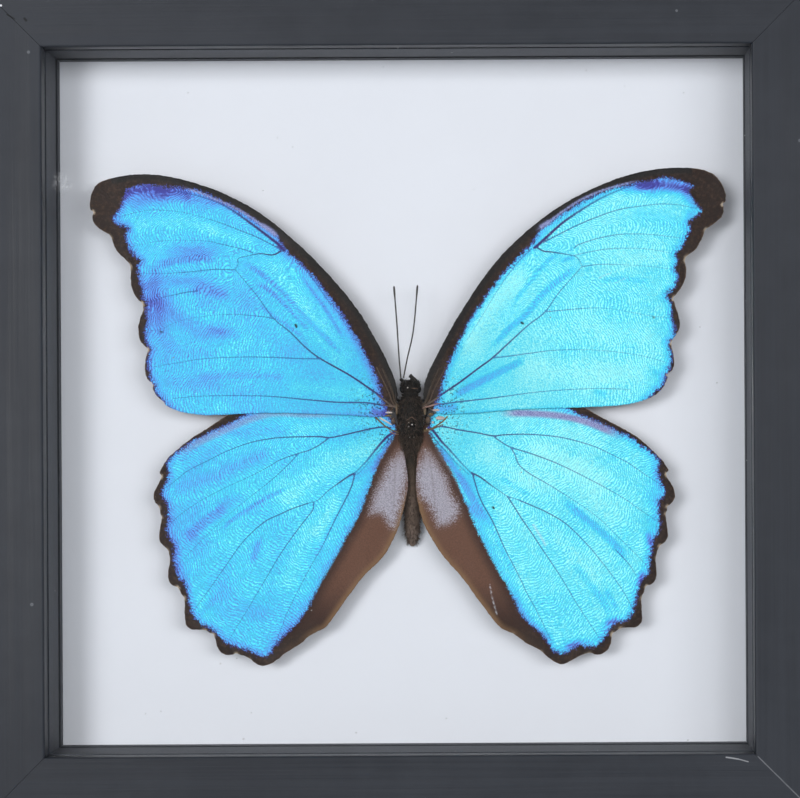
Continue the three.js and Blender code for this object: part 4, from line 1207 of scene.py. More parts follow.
        folds=strokes("""
        0.8 0.95 27.3,-17.1 32.7,-19.6 36.7,-22.1 40.6,-24.6 43.1,-27.1; 2 1 41.3,-21.4 44,-23.2 46.4,-24.8 48.9,-27.1
        51.4,-28.6; 1.1 0.6 34.3,-28.9 34.9,-31.1 35.8,-33.8; 1.1 0.45 46.4,-7.4 49.8,-9.5 52.5,-11.7; 0.9 0.5
        14.9,-20.3 18.3,-26.6 21.6,-32.9; 1.4 0.5 14.9,-15.8 10.4,-13.5 6.5,-9; 1.1 0.45 43.1,-41 46.2,-44.2 48,-46.2;
        0.8 1.1 4.3,-6.3 5.9,-8.8 7.7,-11.7 9,-14.4"""),
        tints_and_sheen=strokes("""
        5 -0.8 8.8,-7.9 14.9,-10.4 20.5,-13.5 27.3,-19.2; 3.6 0.35 44.2,-39.4 38.5,-42.8 33.6,-46.2; 3.4 -0.6
        23.9,-27.1 26.1,-33.8 28.4,-38.3; 3.2 -0.7 17.1,-20.3 21,-27.1; 3.2 0.55 44.2,-8.6 48.7,-11.7 51.6,-15.3; 3.6
        0.45 48.7,-21.4 50.9,-27.1 47.6,-30.4; 2.7 0.75 52.5,-17.6 44.9,-14.9 33.6,-9.9; 2.7 0.6 41.9,-5 36.3,-4.7
        30,-4.3; 2 0.55 42.6,-21 38.5,-19.6; 1.6 0.5 34.3,-29.5 35.6,-33.1; 2.9 0.3 42.6,-45.8 36.3,-45.5 30.7,-45.1;
        2.3 0.5 53,-21.4 53.4,-29.3 51.6,-36.1; 2.3 0.4 25,-42.8 28.4,-47.8 32.2,-51.8; 3.2 0.3 40.8,-33.8 42.6,-40.6
        44.2,-44; 2.3 -0.5 25,-4.1 16,-3.2 9.2,-2.3"""),
        strip=strokes("""
        1.3 0.6 16,-0.8 24,-0.7 30.7,-0.5 36.3,-1.9 41.9,-4.3 47.6,-6.9 52.5,-9.8"""),
    ),
    WingPlan(
        name="hindwing_right", side=Side.RIGHT, lightness_and_sheen=1.08, row_shading=0.28, rows_from=(12.0, 32.0), layer=1.0,
        costa=(0, 0), inner_from=50,
        outline=trace("""
        3,-3.2 5.9,-0.6 12.2,1.2 20.1,2 29.1,2.4 34.7,2 37.8,1.2 42.7,-1.6 47,-3.9 51.7,-6.8 56.2,-11.1 57.4,-12.6
        58,-13.8 57.5,-14.5 57.8,-15.5 59.1,-17.8 59.4,-19.7 58.8,-21 57.7,-22 57.6,-22.8 57.3,-23.6 57.6,-26.2
        57.8,-28.3 57.5,-29.4 56.8,-30.2 55.9,-30.8 55.2,-32.7 55,-34 55.2,-37.3 54.7,-38.8 53.8,-39.5 52.8,-39.9
        52.2,-41.4 51.7,-42.8 51.9,-46.1 51.8,-47.6 51.1,-48.6 50,-49.1 47.2,-49.2 46.1,-49.9 45.1,-50.6 44.8,-52.6
        43.9,-54.3 42.5,-55.1 41.2,-55.1 40.2,-54.8 38.8,-55 37,-55.8 35.6,-56.6 34.1,-57.3 32.8,-57.1 30.3,-55.5
        29,-54.2 26.1,-52.7 24.3,-51.4 22.8,-50.3 21.2,-49.7 19.3,-48.3 15.6,-43.5 11.1,-37.3 8.7,-34.7 6.2,-31.5
        2.9,-25.7 1.3,-19.6 1.1,-15 1.4,-10.6 2,-7.6 2.1,-5.4"""),
        blue=trace("""
        4.3,-1.1 6.1,0.2 11,1.1 20.1,1.8 30.2,1.8 34.7,0.7 37.6,-0.8 41.9,-2.6 44,-3.6 46,-4.5 49.6,-6.3 52.1,-8.1
        54.6,-9.9 56.1,-11.7 55.7,-13.5 56,-15.3 56.8,-17.1 57.3,-18.9 56.1,-20.7 55.9,-22.5 56,-24.3 56.1,-26.1
        55.7,-28 54.6,-29.5 54.3,-31.6 53.9,-33.4 53.8,-35.2 53.4,-37 51.8,-38.8 51.2,-40.6 50.7,-42.4 50.4,-44.2
        49.8,-46 48.5,-47.6 46.2,-48.2 44.6,-49.6 43.5,-51.4 42.2,-53 40.4,-53.4 38.1,-53.3 35.8,-54.1 34,-55 32,-54.4
        30.9,-53 29.8,-51.4 28,-49.6 25.9,-47.8 24.6,-46 23.7,-44.2 22.8,-42.4 21.9,-40.6 21,-38.8 19.8,-37 18.9,-35.2
        18,-33.6 17.1,-31.8 16.2,-30 15.3,-28.2 14.4,-26.1 13.5,-24.1 12.8,-22.1 11.9,-20.3 11.3,-18.5 10.6,-16.9
        9.7,-15.1 8.8,-13.3 7.9,-11.7 7,-10.1 6.1,-8.6 5.2,-7.2 4.5,-5.9 4.1,-4.1"""),
        panel=trace("""
        2.9,-8.6 2,-10.8 1.1,-13.1 0.9,-15.3 1.4,-17.6 2,-19.6 3.2,-20.7 4.3,-22.5 5.2,-24.6 6.1,-26.1 7.9,-25.9
        9.5,-25 10.8,-23.4 10.8,-22.1 10.4,-20.7 9.2,-18.9 8.6,-17.1 7.9,-14.9 6.8,-13.1 5.9,-11.3 4.3,-9.2"""),
        creases=(trace("4.1,-10.1 4.5,-13.5 5,-16.9 5.2,-21.9"),),
        veins=strokes("""
        0.27 0.9 5.2,-3.7 7.4,-3.7 11.3,-4.5 14.9,-5.1 18.5,-5.8 21,-5.6 26.4,-5.5 33.6,-6.2 40.4,-8 44.9,-10
        49.1,-12.2 53.3,-15.1 57,-17.4; 0.23 0.8 18.5,-5.8 20.1,-7 22.5,-8.4 27.5,-10 33.6,-12.4 40.4,-15.8 46.9,-19.4
        51.4,-22.5 55.5,-25.3; 0.23 0.75 22.5,-8.4 23.4,-10 24.4,-12.4 26.8,-14.4 30.4,-16.5 35.7,-19.8 41.8,-24.1
        47.1,-29.2 50.7,-32.8 53.2,-35.4; 0.5 1 3.5,-3.5 5.1,-4.7 6.8,-6.9 8.7,-8.9 11,-11.5 13.4,-14; 0.2 0.8
        3.6,-4.4 4.5,-5.3 6.1,-7.4 8.1,-9.5 10.4,-12.1 13,-14.5; 0.32 0.95 13.4,-14 15.6,-15.1 18,-16.9 20.6,-18.7
        21.7,-19.4 24.3,-20.3; 0.23 0.8 24.3,-20.3 27.3,-21.6 30.8,-23.2 35.1,-25.9 39.8,-30.6 42.6,-34 45.3,-37.5
        47.6,-40.9 49.5,-44.4 50.7,-46.4; 0.23 0.8 21.7,-19.4 23.4,-22.1 25,-24.7 27.1,-27.7 29.3,-31.1 33.6,-37.6
        37.4,-44 41.6,-50.5 42.5,-52.1; 0.25 0.85 13.4,-14 14,-14.9 15.6,-20 18.5,-25.4 21,-31.1 24.3,-37.6 26.1,-41.5
        28.2,-45.3 31.3,-51.8; 0.2 0.7 46,-31.6 49,-34.9 50.9,-38"""),
        folds=strokes("""
        1.4 1 34,-20.3 37.6,-23.2 41.4,-26.4 45.3,-29.9 48.5,-33.8; 1.4 0.7 36.3,-34.3 39.2,-38 43,-43.1 44.9,-46.7;
        0.9 0.8 43.5,-40.6 45.3,-43.3 46.4,-45.5; 0.9 0.5 15.1,-20.3 17.8,-25.7 20.7,-32 23.7,-38.3; 1.1 0.8 6.8,-9.2
        9.2,-13.3 11.7,-18.5 14.7,-24.8; 0.9 0.6 20.1,-15.3 23.7,-17.4 26.8,-19.4; 1.5 1.8 5.9,-8.1 8.3,-11.5
        10.8,-15.1 12.8,-18.5 14.7,-22.1 16.2,-25.2"""),
        tints_and_sheen=strokes("""
        4.5 -0.5 17.8,-10.1 24.6,-14.7 31.3,-15.8; 0.6 -1.6 8.1,-12.2 10.4,-16 13.1,-21; 4.1 -0.9 29.1,-9.5 37,-12.6
        42.6,-15.8; 4.5 -0.6 40.4,-19.8 45.3,-24.3; 2.7 0.6 12.8,-15.3 15.1,-20.3 17.4,-24.8; 3.6 -0.5 33.6,-29.3
        40.4,-38.3; 2.7 0.5 53.4,-11.7 55,-15.8 54.3,-20.3; 2.3 0.6 53.9,-24.8 53.9,-30.4; 2 0.6 22.8,-42.8 26.8,-47.8
        30.2,-51.4; 2 0.5 44.9,-47.8 40.4,-51.8 34.7,-53; 1.1 1.5 53.2,-28.4 53.9,-30.2; 1.1 1.5 51.8,-37.4
        51.6,-39.2; 1.1 1.5 44.2,-48 45.8,-47.6; 1.1 1.5 35.4,-53.2 37.4,-52.8; 4.1 -0.4 33.6,-4.5 42.6,-7.9; 1.8 0.5
        52.8,-33.8 51.6,-38.3; 2.3 0.4 15.6,-25.9 20.1,-34.9 24.1,-41.7"""),
        strip=strokes("""
        1.3 1.1 20.1,-0.7 26.8,-0.8 33.6,-1.4 39.2,-2.7 43.7,-4.5 47.1,-6.3"""),
        marks=strokes("""
        0.4 1.2 18.4,-21.9 18.6,-22.1; 0.3 -0.9 17.6,-39.4 18,-41.5 18.5,-43.5 19.2,-46; 0.6 -0.6 27.5,-25.9
        28.6,-27.7 30.2,-30.4"""),
    ),
)




# ---- Body ---------------------------------------------------------------------------------------


@dataclass(frozen=True)
class Section:
    """A cross-section of the trunk: its height, half width, half depth and set-back, in millimetres."""

    up: float
    wide: float
    deep: float
    back: float


@dataclass(frozen=True)
class FurField:
    """A patch of hairs: where they grow, how many, how long, and how they lie."""

    low: float
    high: float
    count: int
    length: float
    lean: Place
    spread: float
    tones: tuple[float, ...]


@dataclass(frozen=True)
class Bead:
    """A small oval plate: its place as (x, up, back), its half sizes as (x, depth, up), its tone and its gloss."""

    place: Place
    size: Place
    tone: float
    matt: float = 0.45


# The trunk from the head down: height, half width, half depth and set-back.
TRUNK = tuple(Section(*row) for row in trace("""
    6.9,1.2,0.8,-0.4 6.4,1.9,1.4,-0.3 5.3,2.2,1.7,-0.2 4.3,1.9,1.6,-0.1 3.7,1.4,1.3,0.1 3.1,2.0,2.0,0.1
    1.2,2.6,2.7,0.2 -1.5,2.7,3.0,0.3 -4.4,2.6,2.7,0.5 -6.6,2.3,2.1,0.9 -8.0,2.3,1.8,1.5 -10.0,2.0,1.6,2.5
    -11.6,1.7,1.5,3.3 -14.0,1.9,1.7,3.9 -19.0,2.0,1.7,4.6 -24.0,1.8,1.6,5.3 -28.0,1.6,1.3,5.9 -30.0,1.0,0.8,6.3
    -30.9,0.4,0.3,6.4"""))

# Plates and dots: x,up,back, the half sizes in x, depth and height, the tone, and the first one's gloss.
# The pale dots on the scutellum and on the bump behind it are painted glints and a painted ring reflection; the palest
# plates at the wing roots are pale scales and painted highlights.
PLATES_AND_GLINTS = tuple(Bead(row[:3], row[3:6], *row[6:]) for row in trace("""
    0.45,-3.2,-2.35,0.70,0.50,0.72,0.0,0.15 0.45,-3.2,-2.80,0.14,0.12,0.14,1.0
    -0.34,-2.7,-2.50,0.13,0.2,0.13,0.95 -0.34,-3.6,-2.45,0.13,0.2,0.13,0.95 1.13,-3.2,-2.45,0.13,0.2,0.13,0.9
    -0.11,-6.0,-1.25,0.16,0.3,0.16,1.0 0.74,-6.0,-1.20,0.16,0.3,0.16,1.0 -0.56,5.1,-1.85,0.15,0.2,0.15,1.0
    3.27,-8.8,0.75,0.15,0.3,0.15,1.0 -3.10,0.2,-0.55,0.30,0.55,1.30,0.66 3.25,-0.2,-0.55,0.34,0.55,0.90,0.66
    -4.85,-0.45,-0.25,0.85,0.35,0.24,0.97 -5.05,-1.15,-0.20,0.85,0.35,0.22,0.73
    -3.9,-2.3,0.45,0.55,0.6,0.8,0.50 5.75,0.05,-0.25,0.85,0.35,0.30,0.93 4.6,-0.9,-0.20,0.60,0.40,0.30,0.72
    4.96,-2.7,0.45,0.28,0.50,0.28,1.0 6.65,-1.75,0.55,1.05,0.45,0.45,0.95 3.9,-2.2,0.45,0.60,0.6,0.8,0.48
    3.6,-4.1,0.20,0.17,0.50,0.17,1.0 4.17,-4.7,0.60,0.17,0.35,0.17,1.0"""))

# The ridges at the wing roots and on the thorax: radius, tone and course as x,back,up.
RIDGES = strokes("""
    0.24 0.54 -2.6,-0.4,0.7 -4.06,-0.25,1.0 -6.1,-0.25,2.5 -10.4,-0.2,5.6 -15.0,-0.1,8.6;
    0.20 0.56 -2.6,-0.4,0.6 -4.06,-0.25,0.9 -8.6,-0.2,1.6 -14.5,-0.1,2.0;
    0.34 0.34 -2.4,-0.4,0.8 -3.5,-0.3,2.0 -4.2,-0.25,4.6 -6.3,-0.2,9.6;
    0.18 0.46 -2.4,-0.4,0.4 -3.9,-0.35,1.6 -5.0,-0.3,4.4 -7.6,-0.2,9.8;
    0.22 0.70 -8.3,0.75,-0.9 -7.4,0.65,-2.0 -5.86,0.55,-3.4 -4.5,0.5,-4.3 -2.6,0.4,-5.0;
    0.26 0.98 -7.0,0.70,-1.6 -5.6,0.60,-2.4 -4.3,0.5,-3.2;
    0.16 0.85 -4.8,0.70,-4.6 -3.8,0.6,-5.2 -2.2,0.6,-5.4;
    0.22 0.86 2.6,-0.4,0.5 4.06,-0.25,0.9 6.3,-0.2,1.5 8.8,-0.15,2.0 13.0,-0.1,2.3;
    0.24 0.54 2.6,-0.4,0.8 4.3,-0.25,1.7 7.0,-0.2,3.4 11.0,-0.1,6.1;
    0.34 0.34 2.4,-0.4,0.9 3.6,-0.3,2.2 4.5,-0.25,4.8 6.6,-0.2,9.6;
    0.18 0.46 2.4,-0.4,0.5 4.1,-0.35,1.8 5.3,-0.3,4.6 7.9,-0.2,9.6;
    0.20 0.72 8.3,0.75,-1.35 7.2,0.65,-2.5 5.86,0.55,-3.4 4.7,0.5,-4.06 2.6,0.4,-4.6;
    0.16 0.66 7.2,0.75,-3.2 5.9,0.7,-3.8 4.7,0.6,-4.3 2.6,0.5,-4.9;
    0.09 0.80 0.2,-1.75,5.0 1.0,-1.7,4.95 1.8,-1.2,4.9;
    0.07 0.80 0.34,-2.75,-1.47 -0.35,-2.78,-1.95 -0.95,-2.55,-2.3;
    0.07 0.80 0.34,-2.75,-1.47 1.0,-2.75,-1.95 1.5,-2.45,-2.3""")


def body_point(out: float, up: float, back: float) -> np.ndarray:
    """Where a point beside the body is in the frame: back runs from the wing plane to the board."""
    return np.array([AXIS_X + out, WING_PLANE + back, AXIS_Z + up]) * MM


@dataclass
class Specimen:
    """The butterfly's trunk with its eyes, mouth parts, legs, wing hinges and fur."""

    palps: tuple[Place, ...] = ((0.7, -1.0, 5.4), (0.8, -1.8, 6.0), (0.7, -2.0, 6.7))
    foreleg: tuple[Place, ...] = ((1.2, 0.2, 4.6), (1.9, -0.9, 5.6), (1.5, -1.4, 6.3), (0.9, -1.6, 6.8))
    curled_foreleg: tuple[Place, ...] = (
        (0.0, -1.5, 7.8), (0.7, -1.8, 7.2), (1.6, -1.8, 6.3), (1.95, -1.3, 5.4), (1.5, -0.4, 4.6))
    midleg: tuple[Place, ...] = ((1.6, 1.8, 1.4), (3.6, 4.4, 2.6), (3.4, 6.6, -0.2), (3.0, 7.6, -3.2))
    hindleg: tuple[Place, ...] = ((1.6, 2.0, -3.6), (3.8, 4.6, -5.0), (3.2, 6.6, -7.8), (2.6, 7.7, -10.4))
    eye: Place = (1.75, -0.5, 4.8)
    eye_radius: float = 0.85
    limb_radius: float = 0.30
    hair_radius: float = 0.045
    head_inset: float = 0.25
    tail_inset: float = 0.2
    fields: tuple[FurField, ...] = (
        FurField(3.2, 6.7, 1100, 0.6, (0.0, -0.4, 0.8), 0.5, (0.0, 0.1, 0.3)),
        FurField(-6.8, 3.4, 3600, 0.9, (0.0, -0.25, -0.9), 0.42, (0.0, 0.1, 0.25, 0.40, 0.52)),
        FurField(-10.5, -5.4, 1300, 0.95, (0.0, -0.20, -0.9), 0.42, (0.36, 0.44, 0.50)),
        FurField(-30.2, -10.5, 1500, 0.85, (0.0, -0.05, -0.9), 0.34, (0.40, 0.46, 0.52)),
    )

    def build(self, effects: Effects) -> bpy.types.Object:
        """Models the trunk and everything that grew with it as one piece.

        Args:
            effects: The shared shader effects.

        Returns:
            The finished body.
        """
        self.random = np.random.default_rng(SEED + 7)
        trunk = self._trunk()
        parts = [trunk] + self._limbs() + self._eyes() + self._hinges()
        parts.append(self._fur())
        pick_only(trunk, *parts)
        bpy.context.view_layer.objects.active = trunk
        bpy.ops.object.join()
        trunk.data.materials.clear()
        trunk.data.materials.append(BodyFur().material(effects))
        finish_piece(trunk, "body")
        return trunk

    def _trunk(self) -> bpy.types.Object:
        """Lofts head, thorax and abdomen from one ring by extrusion and scaling."""
        bpy.ops.object.select_all(action="DESELECT")
        here = TRUNK[0]
        bpy.ops.mesh.primitive_circle_add(vertices=24, radius=1.0, fill_type="NGON", location=(0, 0, 0))
        piece = bpy.context.view_layer.objects.active
        piece.name = piece.data.name = "morpho_body"
        with edited(piece):
            bpy.ops.transform.resize(value=(here.wide * MM, here.deep * MM, 1.0))
            centre = body_point(0, here.up, here.back)
            bpy.ops.transform.translate(value=tuple(centre))
            bpy.ops.mesh.inset(thickness=self.head_inset * MM)
            bpy.ops.mesh.select_all(action="DESELECT")
            net = bmesh.from_edit_mesh(piece.data)
            for edge in net.edges:
                if edge.is_boundary:
                    edge.select_set(True)
            bmesh.update_edit_mesh(piece.data)
            for section in self._segmented():
                bpy.ops.mesh.extrude_region_move()
                start, centre = centre, body_point(0, section.up, section.back)
                bpy.ops.transform.translate(value=tuple(centre - start))
                ratio = (section.wide / here.wide, section.deep / here.deep, 1.0)
                bpy.ops.transform.resize(value=ratio, center_override=tuple(centre))
                here = section
            bpy.ops.mesh.edge_face_add()
            bpy.ops.mesh.inset(thickness=self.tail_inset * MM)
            bpy.ops.mesh.select_all(action="SELECT")
            bpy.ops.mesh.normals_make_consistent(inside=False)
        smooth = piece.modifiers.new("smooth", "SUBSURF")
        smooth.levels = smooth.render_levels = 2
        bpy.ops.object.modifier_apply(modifier=smooth.name)
        bpy.ops.object.shade_smooth()
        self._tone_trunk(piece)
        return piece

    def _segmented(self) -> list[Section]:
        """The trunk's sections with the abdomen's rings drawn in where they meet."""
        rows = []
        for before, after in zip(TRUNK[:-1], TRUNK[1:]):
            length = before.up - after.up
            if after.up < -9.0 and length > 3:
                for share, pinch in ((0.42, 1.0), (0.5, 0.93), (0.58, 1.0)):
                    up, wide, deep, back = (b + (a - b) * share for a, b in zip(astuple(after), astuple(before)))
                    rows.append(Section(up, wide * pinch, deep * pinch, back))
            rows.append(after)
        return rows

    def _tone_trunk(self, piece: bpy.types.Object) -> None:
        """Darkens the thorax and lets the abdomen go brown-grey toward its tip."""
        count = len(piece.data.vertices)
        places = np.empty(count * 3, np.float32)
        piece.data.vertices.foreach_get("co", places)
        up = places.reshape(-1, 3)[:, 2] / MM - AXIS_Z
        tone = 0.06 + 0.34 * fade(up, -6.5, -16.0) + 0.11 * fade(up, -14.0, -22.0) + 0.10 * fade(up, -25.0, -30.0)
        paint(piece, {"tone": tone, "matt": 0.55})

    def _limb(self, name: str, places: tuple[Place, ...], sign: float, radius: float) -> bpy.types.Object:
        """Makes one jointed limb from places given as (outward, back, up)."""
        spine = smooth_path([(sign * out, back, up) for out, back, up in places], 0.25)
        share = np.linspace(0, 1, len(spine))
        knots = 1.0 + 0.25 * np.cos(share * math.pi * 2 * (len(places) - 1)) ** 8
        radii = radius * (1.15 - 0.45 * share) * knots * MM
        world = np.array([body_point(out, up, back) for out, back, up in spine])
        return lathe_tube(name, world, radii, 8, 0.08, 0.35)

    def _limbs(self) -> list[bpy.types.Object]:
        """Palps, forelegs, and the four legs folded behind the thorax."""
        made = []
        for side in Side:
            for name, places, radius in (("palp", self.palps, 0.42), ("midleg", self.midleg, self.limb_radius),
                                         ("hindleg", self.hindleg, self.limb_radius)):
                made.append(self._limb(f"{name}_{side.name.lower()}", places, side.value, radius))
        made.append(self._limb("foreleg_left", self.foreleg, -1, 0.32))
        made.append(self._limb("foreleg_right", self.curled_foreleg, 1, 0.38))
        return made

    @staticmethod
    def _bead(name: str, centre: np.ndarray, size: Place, tone: float, matt: float,
              dents: float = 0.0) -> bpy.types.Object:
        """Makes a smooth bead: a ball pressed to an oval, with dents if they are asked for."""
        bpy.ops.object.select_all(action="DESELECT")
        bpy.ops.mesh.primitive_uv_sphere_add(segments=20, ring_count=12, radius=1.0, location=(0, 0, 0))
        piece = bpy.context.view_layer.objects.active
        piece.name = piece.data.name = name
        with edited(piece):
            bpy.ops.transform.resize(value=tuple(s * MM for s in size))
            if dents:
                bpy.ops.transform.vertex_random(offset=dents * MM, seed=SEED % 97)
            bpy.ops.transform.translate(value=tuple(centre))
        bpy.ops.object.shade_smooth()
        paint(piece, {"tone": tone, "matt": matt})
        return piece

    def _eyes(self) -> list[bpy.types.Object]:
        """Two brown bulging eyes, and the sockets of the antennae."""
        made = []
        out, back, up = self.eye
        r = self.eye_radius
        for side in Side:
            name = side.name.lower()
            root = side.value * 0.9 - (1.1 if side is Side.LEFT else 0.6)
            ball, cup = body_point(side.value * out, up, back), body_point(root, 6.9, -1.2)
            made.append(self._bead(f"eye_{name}", ball, (r * 0.85, r, r * 1.05), 0.02, 0.15))
            made.append(self._bead(f"socket_{name}", cup, (0.42, 0.42, 0.40), 0.05, 0.3))
        return made

    def _hinges(self) -> list[bpy.types.Object]:
        """Pale and ochre plates, vein roots, the scutellum with its painted glints, and the V-shaped suture; the palest
        plates and ridges at the wing roots are pale scales and painted highlights.
        """
        made = []
        for i, plate in enumerate(PLATES_AND_GLINTS):
            x, up, back = plate.place
            rough = 0.06 if max(plate.size) > 0.4 else 0.0
            made.append(self._bead(f"plate_{i}", body_point(x, up, back), plate.size, plate.tone, plate.matt, rough))
        for i, ridge in enumerate(RIDGES):
            spine = smooth_path(ridge.path, 0.2)
            radii = ridge.width * (1.0 - 0.4 * np.linspace(0, 1, len(spine))) * MM
            world = np.array([body_point(x, up, back) for x, back, up in spine])
            made.append(lathe_tube(f"ridge_{i}", world, radii, 8, ridge.strength, 0.45))
        return made

    def _fur(self) -> bpy.types.Object:
        """Grows short tapered hairs on the trunk, each a thin three-sided blade."""
        points, faces, tones = [], [], []
        ups = np.array([s.up for s in TRUNK])[::-1]
        wide, deep, back = (np.array([getattr(s, k) for s in TRUNK])[::-1] for k in ("wide", "deep", "back"))
        for patch in self.fields:
            for _ in range(patch.count):
                up = self.random.uniform(patch.low, patch.high)
                turn = self.random.uniform(-math.pi, math.pi)
                w, d, b = (np.interp(up, ups, row) for row in (wide, deep, back))
                normal = np.array([math.cos(turn), math.sin(turn), 0.0])
                root = body_point(w * math.cos(turn) * 0.97, up, b + d * math.sin(turn) * 0.97)
                way = normal * 0.55 + np.array(patch.lean) + self.random.normal(0, patch.spread, 3)
                way /= np.linalg.norm(way)
                long = patch.length * self.random.uniform(0.6, 1.3) * MM
                across = np.cross(way, (0.3, 1.0, 0.2))
                across /= np.linalg.norm(across)
                other = np.cross(way, across)
                bend = self.random.normal(0, 0.16, 3) * long
                start = len(points)
                thick = self.hair_radius * MM
                for share, size in ((0.0, 1.0), (0.55, 0.75)):
                    centre = root + way * long * share + bend * share**2
                    for k in range(3):
                        a = 2 * math.pi * k / 3
                        points.append(centre + (across * math.cos(a) + other * math.sin(a)) * thick * size)
                points.append(root + way * long + bend)
                for k in range(3):
                    n = (k + 1) % 3
                    faces.append((start + k, start + n, start + 3 + n, start + 3 + k))
                    faces.append((start + 3 + k, start + 3 + n, start + 6))
                faces.append((start + 2, start + 1, start))
                tones += [patch.tones[self.random.integers(len(patch.tones))]] * 7
        made = new_mesh("fur", np.array(points), faces, {"tone": np.array(tones), "matt": np.full(len(points), 0.6)})
        bpy.ops.object.shade_smooth()
        return made


@dataclass
class Antenna:
    """A thin ringed antenna with a slender club."""

    name: str
    places: tuple[Place, ...]
    radius: float = 0.17
    club: float = 0.23
    club_length: float = 3.2
    tip_length: float = 0.35
    ring_step: float = 0.13
    ring_pitch: float = 0.52

    def build(self, effects: Effects) -> bpy.types.Object:
        """Makes the antenna from a bevelled curve with fine rings along it."""
        spine = smooth_path(self.places, self.ring_step)
        run = np.arange(len(spine)) * self.ring_step
        left = run[-1] - run
        thick = self.radius + (self.club - self.radius) * fade(left, self.club_length, self.club_length * 0.45)
        thick = thick * np.sqrt(np.clip(left / self.tip_length + 0.05, 0.05, 1.0))
        thick = thick * (1.0 + 0.07 * np.sign(np.sin(run * math.pi * 2 / self.ring_pitch)))
        world = np.array([body_point(out, up, back) for out, back, up in spine])
        made = lathe_tube(f"morpho_{self.name}", world, thick * MM, 12)
        made.name = made.data.name = f"morpho_{self.name}"
        made.data.materials.append(Chitin().material(effects))
        finish_piece(made, self.name)
        return made


ANTENNAE = (
    Antenna("antenna_left", ((-2.1, -1.4, 7.3), (-2.5, -1.7, 12.6), (-2.9, -2.0, 19.6), (-3.5, -2.2, 27.9))),
    Antenna("antenna_right", ((-1.5, -1.4, 7.3), (-0.6, -1.7, 11.7), (0.8, -2.0, 18.0), (1.8, -2.2, 28.1))),
)


# ---- Frame --------------------------------------------------------------------------------------


@dataclass
class FrameDressing:
    """The finishes of the frame, its glass, its card and its hardware."""

    effects: Effects

    def build(self) -> None:
        """Gives every flat-sided node of the frame its finish."""
        level = PaintedWood(Grain.LEVEL).material(self.effects)
        upright = PaintedWood(Grain.UPRIGHT).material(self.effects)
        card = BlackCard().material(self.effects)
        steel = BareSteel().material(self.effects)
        finishes = {"rail_top": level, "rail_bottom": level, "rail_left": upright, "rail_right": upright,
                    "glass": ClearGlass().material(self.effects), "mount_board": WhiteCard().material(self.effects),
                    "backing_panel": Hardboard().material(self.effects), "hanger": steel,
                    "mounting_block": RawCork().material(self.effects)}
        finishes |= {f"spacer_{side}": card for side in ("top", "bottom", "left", "right")}
        finishes |= {f"framer_point_{i}": steel for i in range(1, 9)}
        finishes |= {f"hanger_nail_{side}": steel for side in ("left", "right")}
        for name, material in finishes.items():
            node = bpy.data.objects[name]
            for slot in node.material_slots:
                slot.material = material
            log.info("%s: %s", name, material.name)


# ---- Room, camera and light ---------------------------------------------------------------------


@dataclass(frozen=True)
class Lamp:
    """A soft rectangular lamp: where it stands, its size and its power."""

    name: str
    place: Place
    size: tuple[float, float]
    power: float
    mirrored: bool = True


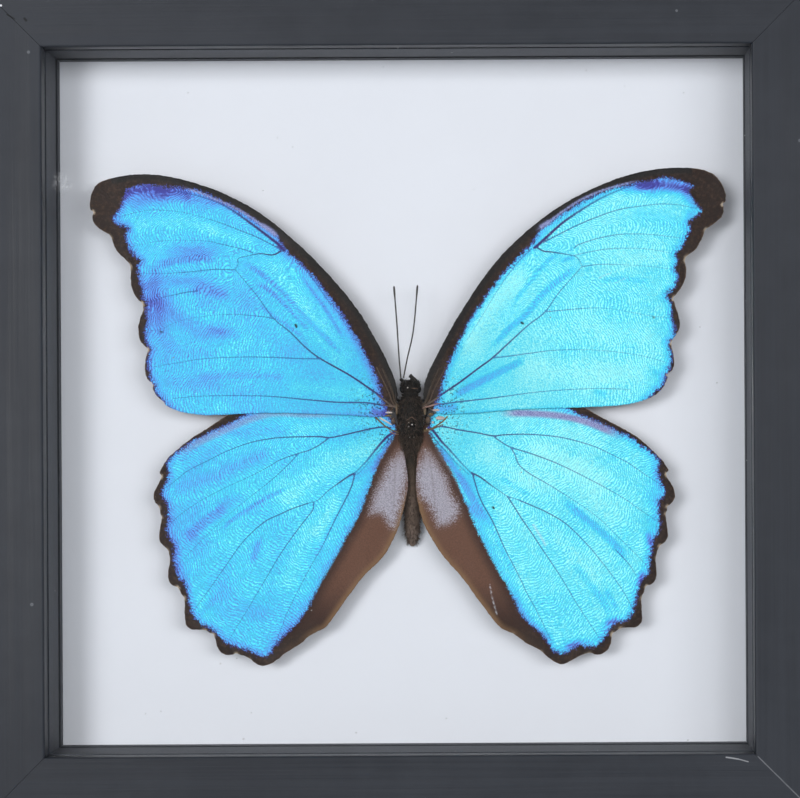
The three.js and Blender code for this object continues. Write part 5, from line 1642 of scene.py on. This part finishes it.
@dataclass
class Stage:
    """The floor, the soft studio light, the plain surroundings and the camera."""

    target: Place = (0.0, 0.0, 0.095)
    camera_place: Place = (0.0267, -0.570, 0.0877)
    lens: float = 113.6
    shift: tuple[float, float] = (-0.15, 0.0425)
    roll: float = math.radians(0.3)
    lamps: tuple[Lamp, ...] = (
        Lamp("softbox_left", (-0.75, -2.50, 0.36), (0.50, 0.60), 18.0, mirrored=False),
        Lamp("softbox_right", (1.30, -2.50, 0.36), (1.25, 0.65), 18.0, mirrored=False),
        Lamp("front_fill", (0.00, -3.00, 0.48), (1.60, 0.90), 28.0, mirrored=False),
        Lamp("card_left", (-0.42, -1.00, 0.14), (0.26, 0.18), 2.5),
        Lamp("card_right", (0.31, -1.00, 0.17), (0.20, 0.18), 1.0),
        Lamp("back_fill", (0.40, 1.30, 1.10), (1.00, 1.00), 15.0),
    )

    def build(self) -> None:
        """Sets everything up."""
        self._floor()
        for lamp in self.lamps:
            self._lamp(lamp)
        self._camera()
        self._surroundings()
        view = bpy.context.scene.view_settings
        view.view_transform = "Standard"
        view.look = "None"
        view.exposure = 0.0
        view.gamma = 1.0

    def _floor(self) -> None:
        """Lays a plain pale floor that turns up behind the frame and isn't mirrored in its glass."""
        sweep = [(-2.2, 0.0), (1.0, 0.0)]
        sweep += [(1.0 + 0.5 * math.sin(a), 0.5 - 0.5 * math.cos(a)) for a in np.linspace(0.2, math.pi / 2, 8)]
        sweep += [(1.5, 2.2)]
        points = [(x, y, z) for y, z in sweep for x in (-2.5, 2.5)]
        faces = [(2 * i, 2 * i + 1, 2 * i + 3, 2 * i + 2) for i in range(len(sweep) - 1)]
        floor = new_mesh("floor", np.array(points), faces)
        bpy.ops.object.shade_smooth()
        material, build, principled = new_material("floor_paper")
        build.feed(principled.inputs["Base Color"], (0.62, 0.64, 0.67))
        build.feed(principled.inputs["Roughness"], 0.9)
        floor.data.materials.append(material)
        floor.visible_glossy = floor.visible_transmission = False

    def _lamp(self, lamp: Lamp) -> None:
        """Hangs one lamp, turned to the frame."""
        light = bpy.data.lights.new(lamp.name, "AREA")
        light.shape = "RECTANGLE"
        light.size, light.size_y = lamp.size
        light.energy = lamp.power
        made = bpy.data.objects.new(lamp.name, light)
        made.location = lamp.place
        made.rotation_euler = (Vector(self.target) - Vector(lamp.place)).to_track_quat("-Z", "Y").to_euler()
        made.visible_glossy = made.visible_transmission = lamp.mirrored
        bpy.context.scene.collection.objects.link(made)

    def _camera(self) -> None:
        """Stands the camera square to the frame, a little right of its middle."""
        data = bpy.data.cameras.new("camera")
        data.lens = self.lens
        data.sensor_width = 36.0
        data.shift_x, data.shift_y = self.shift
        data.clip_start = 0.01
        made = bpy.data.objects.new("camera", data)
        made.location = self.camera_place
        made.rotation_euler = (math.pi / 2, self.roll, 0.0)
        bpy.context.scene.collection.objects.link(made)
        bpy.context.scene.camera = made

    def _surroundings(self) -> None:
        """Fills the surroundings with one pale tone."""
        world = bpy.data.worlds.new("surroundings")
        world.use_nodes = True
        sky = next(n for n in world.node_tree.nodes if n.type == "BACKGROUND")
        sky.inputs["Color"].default_value = (0.92, 0.95, 1.0, 1.0)
        sky.inputs["Strength"].default_value = 0.09
        bpy.context.scene.world = world


# ---- The whole ----------------------------------------------------------------------------------


def main() -> None:
    """Builds the framed butterfly."""
    logging.basicConfig(level=logging.INFO)
    effects = Effects()
    FrameDressing(effects).build()
    underside = WingUnderside().material(effects)
    for plan in WINGS:
        Wing(plan).build(effects, underside)
    Specimen().build(effects)
    for antenna in ANTENNAE:
        antenna.build(effects)
    Stage().build()


if __name__ == "__main__":
    main()
